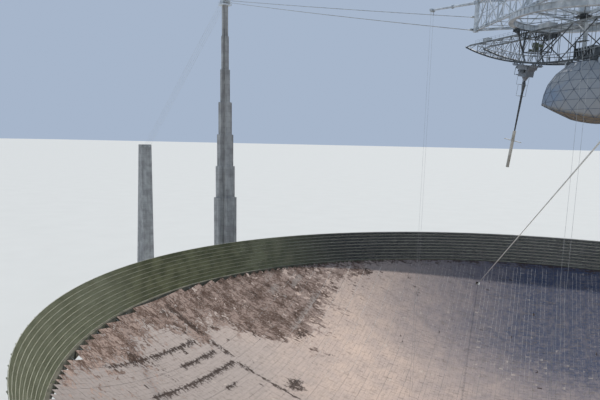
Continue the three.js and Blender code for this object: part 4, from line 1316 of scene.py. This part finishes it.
def polygon_normal(corners):
    total = Vector()
    for i in range(1, len(corners) - 1):
        total += (corners[i] - corners[0]).cross(corners[i + 1] - corners[0])
    return total


def facet(shape, corners, inset=0.05, thick=0.14):
    """A flat sheet, set in from its edges and lying just under the polygon."""
    corners = [p for i, p in enumerate(corners) if (p - corners[i - 1]).length > 0.05]
    if len(corners) < 3 or polygon_normal(corners).length < 0.5:
        return
    normal = polygon_normal(corners).normalized()
    rim = []
    for i, p in enumerate(corners):
        first = normal.cross((p - corners[i - 1]).normalized())
        second = normal.cross((corners[(i + 1) % len(corners)] - p).normalized())
        rim.append(p + (first + second) / (1 + max(-0.8, first.dot(second))) * inset)
    shape.prism([p - normal * thick for p in rim], rim)


def upper_rows(radius=DOME_RADIUS):
    return [(math.sqrt(radius ** 2 - height ** 2), height - DOME_CENTRE) for height in DOME_ROWS]


def upper_facets():
    cut = [clipped(corners, CUT_CENTRE, CUT_NORMAL) for corners in facet_corners(upper_rows())]
    return [corners for corners in cut if len(corners) > 2]


def cap_facets():
    return [[CAP @ p for p in corners] for corners in facet_corners([(r, -depth) for r, depth in DOME_CAP])]


def dome_shell(name, facets, node):
    shape = Shape(DOME)
    tones = []
    for corners in facets:
        before = len(shape.points)
        facet(shape, corners)
        tones += [random.random()] * (len(shape.points) - before)
    obj = make(name, shape, DOME_SHEET, "dome", node)
    back = DOME.inverted()
    places = [back @ (v.co / M) for v in obj.data.vertices]
    heights = [(p - CUT_CENTRE).dot(CUT_NORMAL) for p in places]
    values = {"tone": tones,
              "low": [min(1, max(0, 0.75 - h / 2.6)) for h in heights],
              "greyer_top": [min(1, max(0, 0.5 + (p.z + DOME_CENTRE - 5) / 9, 0.35 - p.x / 16)) for p in places]}
    for key, numbers in values.items():
        mark(obj.data, key, numbers)


def dome_seams(facets):
    """The frame seen in the seams: a thin lining, a bar along each seam and a cap at each node."""
    shape = Shape(DOME)
    bars = set()
    nodes = {}
    for corners in facets:
        normal = polygon_normal(corners)
        if normal.length < 0.5:
            continue
        normal.normalize()
        shape.prism([p - normal * 0.3 for p in corners], [p - normal * 0.2 for p in corners])
        for start, end in zip(corners, corners[1:] + corners[:1]):
            keys = [tuple(round(c, 3) for c in p) for p in (start, end)]
            bars.add(tuple(sorted(keys)))
            for key in keys:
                nodes[key] = nodes.get(key, Vector()) + normal
    for start, end in sorted(bars):
        if math.dist(start, end) > 0.4:
            shape.bar(start, end, 0.1, 0.1)
    for key, total in sorted(nodes.items()):
        outward = total.normalized()
        shape.rod(Vector(key) - outward * 0.1, Vector(key) + outward * 0.03, 0.2, 8)
    return shape


def bogie(shape, x, y, radius=0.42):
    """Two wheels that hang from the flange of the rail above."""
    reach = math.sqrt((RAIL_RADIUS + RAIL / 2 + 0.01) ** 2 - x ** 2)
    for dx in (-0.55, 0.55):
        shape.rod(below(x + dx, y - 0.2, reach + radius), below(x + dx, y + 0.2, reach + radius), radius, 14)
    shape.box(below(x - 1.1, y - 0.4, reach + 2.1 * radius), below(x + 1.1, y + 0.4, reach + radius))


def dome_parts():
    upper, cap = upper_facets(), cap_facets()
    dome_shell("dome_sheets_upper", upper, "dome_upper_shell")
    dome_shell("dome_sheets_lower", cap, "dome_lower_shell")
    make("dome_seams", dome_seams(upper + cap), DOME_LINING, "dome")
    roof = Shape(DOME)
    radius = upper_rows()[0][0]
    ring = turns(DOME_SIDES, DOME_PHASE[0])
    roof.prism(*[[around(t, radius, -DOME_ROOF - depth) for t in ring] for depth in (0.3, 0.02)])
    half = DOME_FRAME_LENGTH / 2
    for x in (-half, half):
        for y in (-ARM_TRACK, ARM_TRACK):
            bogie(roof, x, y)
    for y in (-ARM_TRACK, ARM_TRACK):
        roof.box(below(-half - 1, y - 0.3, DOME_ROOF), below(half + 1, y + 0.3, DOME_FRAME + 0.1))
    for x in (-half, -half / 2, 0, half / 2, half):
        roof.box(below(x - 0.2, -ARM_TRACK, DOME_ROOF), below(x + 0.2, ARM_TRACK, DOME_FRAME + 0.15))
    make("dome_hangers", roof, DARK_STEEL, "dome", "dome_carriage")
    # Pale struts from the frame's ends out to the second row of corners
    struts = Shape(DOME)
    for out in (-1, 1):
        for y in (-ARM_TRACK, ARM_TRACK):
            end = below(out * 8.0, y * 1.05, DOME_ROOF + 2.3)
            struts.bar(below(out * (half + 1), y, DOME_FRAME + 0.5), end, 0.22)
            x = out * (half + 1.6)
            struts.bar(below(x, y, DOME_FRAME), below(x, y, DOME_ROOF + 1.6), 0.4)
            tie = [below(out * (half + beyond), y, DOME_FRAME + 0.3) for beyond in (1.7, 0.8)]
            struts.bar(*tie, 0.2)
    make("dome_struts", struts, PALE_STEEL, "dome")


FEED_ZENITH = 9.8
FEED_FRAME = 127.2
FEED_FRAME_DEPTH = 0.6
HOUSE_MIDDLE = 128.8
HOUSE_BOTTOM = 131.1
HOUSE_OUTLINE = ((2.3, 127.6), (2.3, 128.8), (1.9, 128.8), (1.9, 131.1), (-1.9, 131.1), (-1.9, 129.35),
                 (-3.2, 127.9), (-3.2, 127.6))
HOUSE_HALF = 1.6
FEED_TOP = 132.4
FEED_SECTIONS = ((132.4, 0.25), (134.1, 0.62), (136, 0.38), (149.3, 0.24))
FEED_CHANGE = 149.1
FEED_END = 161.7
FEED_BAR = 152.4
FEED_BAR_HALF = 4.07
# Boxes on the house: x from and to, y from and to, and the distances down of top and underside
HOUSE_BOXES = ((2.3, 3.0, -1.2, 0.4, 127.7, 128.5), (1.9, 2.6, 0.3, 1.4, 128.9, 129.6),
               (2.3, 2.9, 1.0, 2.1, 127.9, 128.7), (1.9, 2.9, -1.5, -0.3, 129.2, 129.9),
               (1.9, 2.4, -0.2, 0.5, 129.9, 130.6), (-1.2, 0.6, 1.6, 2.3, 128.9, 129.8),
               (1.9, 3.3, 0.9, 1.2, 130.5, 130.7))
FEED = carriage_frame(FEED_ZENITH, 1)


def carriage_house():
    shape = Shape(FEED)
    for y in (-ARM_TRACK, ARM_TRACK):
        bogie(shape, -1.4, y, 0.3)
        bogie(shape, 1.4, y, 0.3)
        shape.box(below(-2.1, y - 0.3, FEED_FRAME + FEED_FRAME_DEPTH), below(2.1, y + 0.3, FEED_FRAME + 0.2))
    for x in (-1.4, 0, 1.4):
        shape.box(below(x - 0.25, -ARM_TRACK, FEED_FRAME + FEED_FRAME_DEPTH),
                  below(x + 0.25, ARM_TRACK, FEED_FRAME + 0.15))
    shape.box(below(-2.3, -2.2, HOUSE_MIDDLE), below(2.3, 2.2, FEED_FRAME + 0.4))
    outline = [below(x, -HOUSE_HALF, d) for x, d in HOUSE_OUTLINE]
    shape.prism(outline, [p + Vector((0, 2 * HOUSE_HALF, 0)) for p in outline])
    shape.rod(below(0, 0, HOUSE_BOTTOM - 0.1), below(0, 0, FEED_TOP), 1.2, 16, 0.5)
    for k in range(7):
        x = -1.8 + 3.6 * k / 6
        for y in (-HOUSE_HALF, HOUSE_HALF):
            shape.bar(below(x, y, HOUSE_MIDDLE + 0.7), below(x, y, HOUSE_BOTTOM), 0.1)
    for k in range(6):
        y = -1.5 + 3 * k / 5
        for x in (-1.9, 1.9):
            shape.bar(below(x, y, HOUSE_MIDDLE + 0.7), below(x, y, HOUSE_BOTTOM), 0.1)
    make("carriage_room", shape, HOUSE_STEEL, "feed_carriage", "carriage_house")
    # Boxes, ducts and rails on its outer side
    gear = Shape(FEED)
    for x0, x1, y0, y1, high, low in HOUSE_BOXES:
        gear.box(below(x0, y0, low), below(x1, y1, high))
    for x, y, distance in ((2.9, -1.4, 130.4), (2.6, 0.9, 129.3), (2.9, 0.2, 131.0)):
        gear.rod(below(1.9, y, distance), below(x, y, distance), 0.16, 8)
    for start, end in (((3.1, 2.1, 130.7), (3.1, -2.1, 130.7)), ((3.1, 2.1, 130.7), (1.9, 1.6, 130.7)),
                       ((3.1, -2.1, 130.7), (1.9, -1.6, 130.7)), ((3.1, 2.1, 130.7), (3.1, 2.1, 128.2)),
                       ((3.1, -2.1, 130.7), (3.1, -2.1, 128.2)), ((3.1, 2.1, 128.2), (2.3, 2.1, 128.2)),
                       ((3.1, -2.1, 128.2), (2.3, -2.1, 128.2))):
        gear.bar(below(*start), below(*end), 0.1)
    make("house_gear", gear, DARK_STEEL, "feed_carriage")
    cage = Shape(FEED)
    stages = ((-1.0, 1.85, -0.8, 1.55, HOUSE_BOTTOM - 0.1, 133.7), (-0.9, 1.3, -0.8, 1.2, 133.7, 137.4))
    for x0, x1, y0, y1, high, low in stages:
        corners = [below(x, y, low) for x, y in ((x0, y0), (x1, y0), (x1, y1), (x0, y1), (x0, y0))]
        rise = Vector((0, 0, low - high))
        for start, end in zip(corners, corners[1:]):
            cage.bar(start, end, 0.09)
            cage.bar(start, start + rise, 0.07)
        for start, end in ((corners[0], corners[2]), (corners[1], corners[3])):
            cage.bar(start, end, 0.07)
    make("feed_cage", cage, GREY_STEEL, "feed_carriage", slot="dark_steel")


def line_feed():
    upper = Shape(FEED)
    for (start, wide), (end, narrow) in zip(FEED_SECTIONS, FEED_SECTIONS[1:]):
        upper.rod(below(0, 0, start), below(0, 0, end), wide, 16, narrow)
    for k in range(9):
        distance = 136.2 + 1.5 * k
        radius = 0.38 - 0.14 * (distance - 136) / 13.3
        upper.rod(below(0, 0, distance), below(0, 0, distance + 0.14), radius + 0.05, 16)
    for k in range(8):
        t = math.tau * (k + 0.5) / 8
        x, y = math.cos(t), math.sin(t)
        upper.bar(below(x * 0.3, y * 0.3, FEED_TOP + 0.1), below(x * 0.64, y * 0.64, 134.1), 0.09)
    make("feed_upper", upper, FEED_DARK, "feed_carriage")
    lower = Shape(FEED)
    lower.rod(below(0, 0, FEED_CHANGE), below(0, 0, FEED_END), 0.53, 24)
    for k in range(6):
        distance = FEED_CHANGE + 2.5 * k
        lower.rod(below(0, 0, distance), below(0, 0, distance + 0.1), 0.56, 24)
    lower.bar(below(-FEED_BAR_HALF, 0, FEED_BAR), below(FEED_BAR_HALF, 0, FEED_BAR), 0.22)
    for side in (-1, 1):
        lower.box(below(side * FEED_BAR_HALF - 0.12, -0.14, FEED_BAR + 0.14),
                  below(side * FEED_BAR_HALF + 0.12, 0.14, FEED_BAR - 0.14))
        lower.rod(below(side * 0.5, 0, FEED_BAR), below(side * 0.9, 0, FEED_BAR), 0.2, 10)
    make("feed_lower", lower, FEED_PALE, "feed_carriage", "line_feed")


# Better finishes for the CAD nodes that stay

def finish_nodes():
    finishes = {"rim_frame": RIM_CONCRETE, "centre_foundation": CONCRETE, "anchor_pier": CONCRETE,
                "tower_head": PALE_STEEL, "tower_": CONCRETE, "tiedown_boom": PALE_STEEL}
    for name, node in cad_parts.items():
        for start, finish in finishes.items():
            if name.startswith(start):
                node.data.materials.clear()
                node.data.materials.append(finish)
                break


# Light and floor

SUN_AZIMUTH = 90
SUN_HEIGHT = 49
SUN_STRENGTH = 2.8
SUN_WIDTH = 1.2
SKY_STRENGTH = 0.74
FLOOR_HALF = 1500
FLOOR_BELOW = 0.002


def light():
    data = bpy.data.lights.new("sun", "SUN")
    data.energy = SUN_STRENGTH
    data.angle = math.radians(SUN_WIDTH)
    data.color = (1.0, 0.95, 0.88)
    sun = placed("sun", data)
    a, h = math.radians(SUN_AZIMUTH), math.radians(SUN_HEIGHT)
    sun.rotation_euler = around(a, math.cos(h), math.sin(h)).to_track_quat("Z", "Y").to_euler()
    world = bpy.data.worlds.new("studio")
    world.use_nodes = True
    background = world.node_tree.nodes["Background"]
    background.inputs["Color"].default_value = colour("bfd0e8")
    background.inputs["Strength"].default_value = SKY_STRENGTH
    bpy.context.scene.world = world
    bpy.context.scene.view_settings.view_transform = "Standard"


def floor():
    half, height = FLOOR_HALF, -FLOOR_BELOW
    mesh = bpy.data.meshes.new("floor")
    corners = [(-half, -half, height), (half, -half, height), (half, half, height), (-half, half, height)]
    mesh.from_pydata(corners, [], [(0, 1, 2, 3)])
    pale = Finish("floor", roughness=0.95)
    base = pale.mix(pale.noise(40, 2), "cfcfca", "d6d6d1")
    mesh.materials.append(pale.finish(base))
    placed("floor", mesh)


make_camera()
light()
floor()
reflector()
cable_net()
ground_screen()
for tower, azimuth in TOWER_AZIMUTHS.items():
    tower_fittings(tower, azimuth)
    tower_cables(tower, azimuth)
guide_rope()
for number, sides in enumerate(("ab", "bc", "ca")):
    make(f"side_lattice_{sides}", platform_side(210 + 120 * number), PALE_STEEL, "structure",
         f"platform_side_{sides}")
inner_frame()
azimuth_ring()
make("arm_lattice_left", arm_truss(1), GREY_STEEL, "azimuth_arm", "arm_truss_left")
make("arm_lattice_right", arm_truss(-1), GREY_STEEL, "azimuth_arm", "arm_truss_right")
arm_rails()
arm_cross()
arm_machinery()
dome_parts()
carriage_house()
line_feed()
finish_nodes()
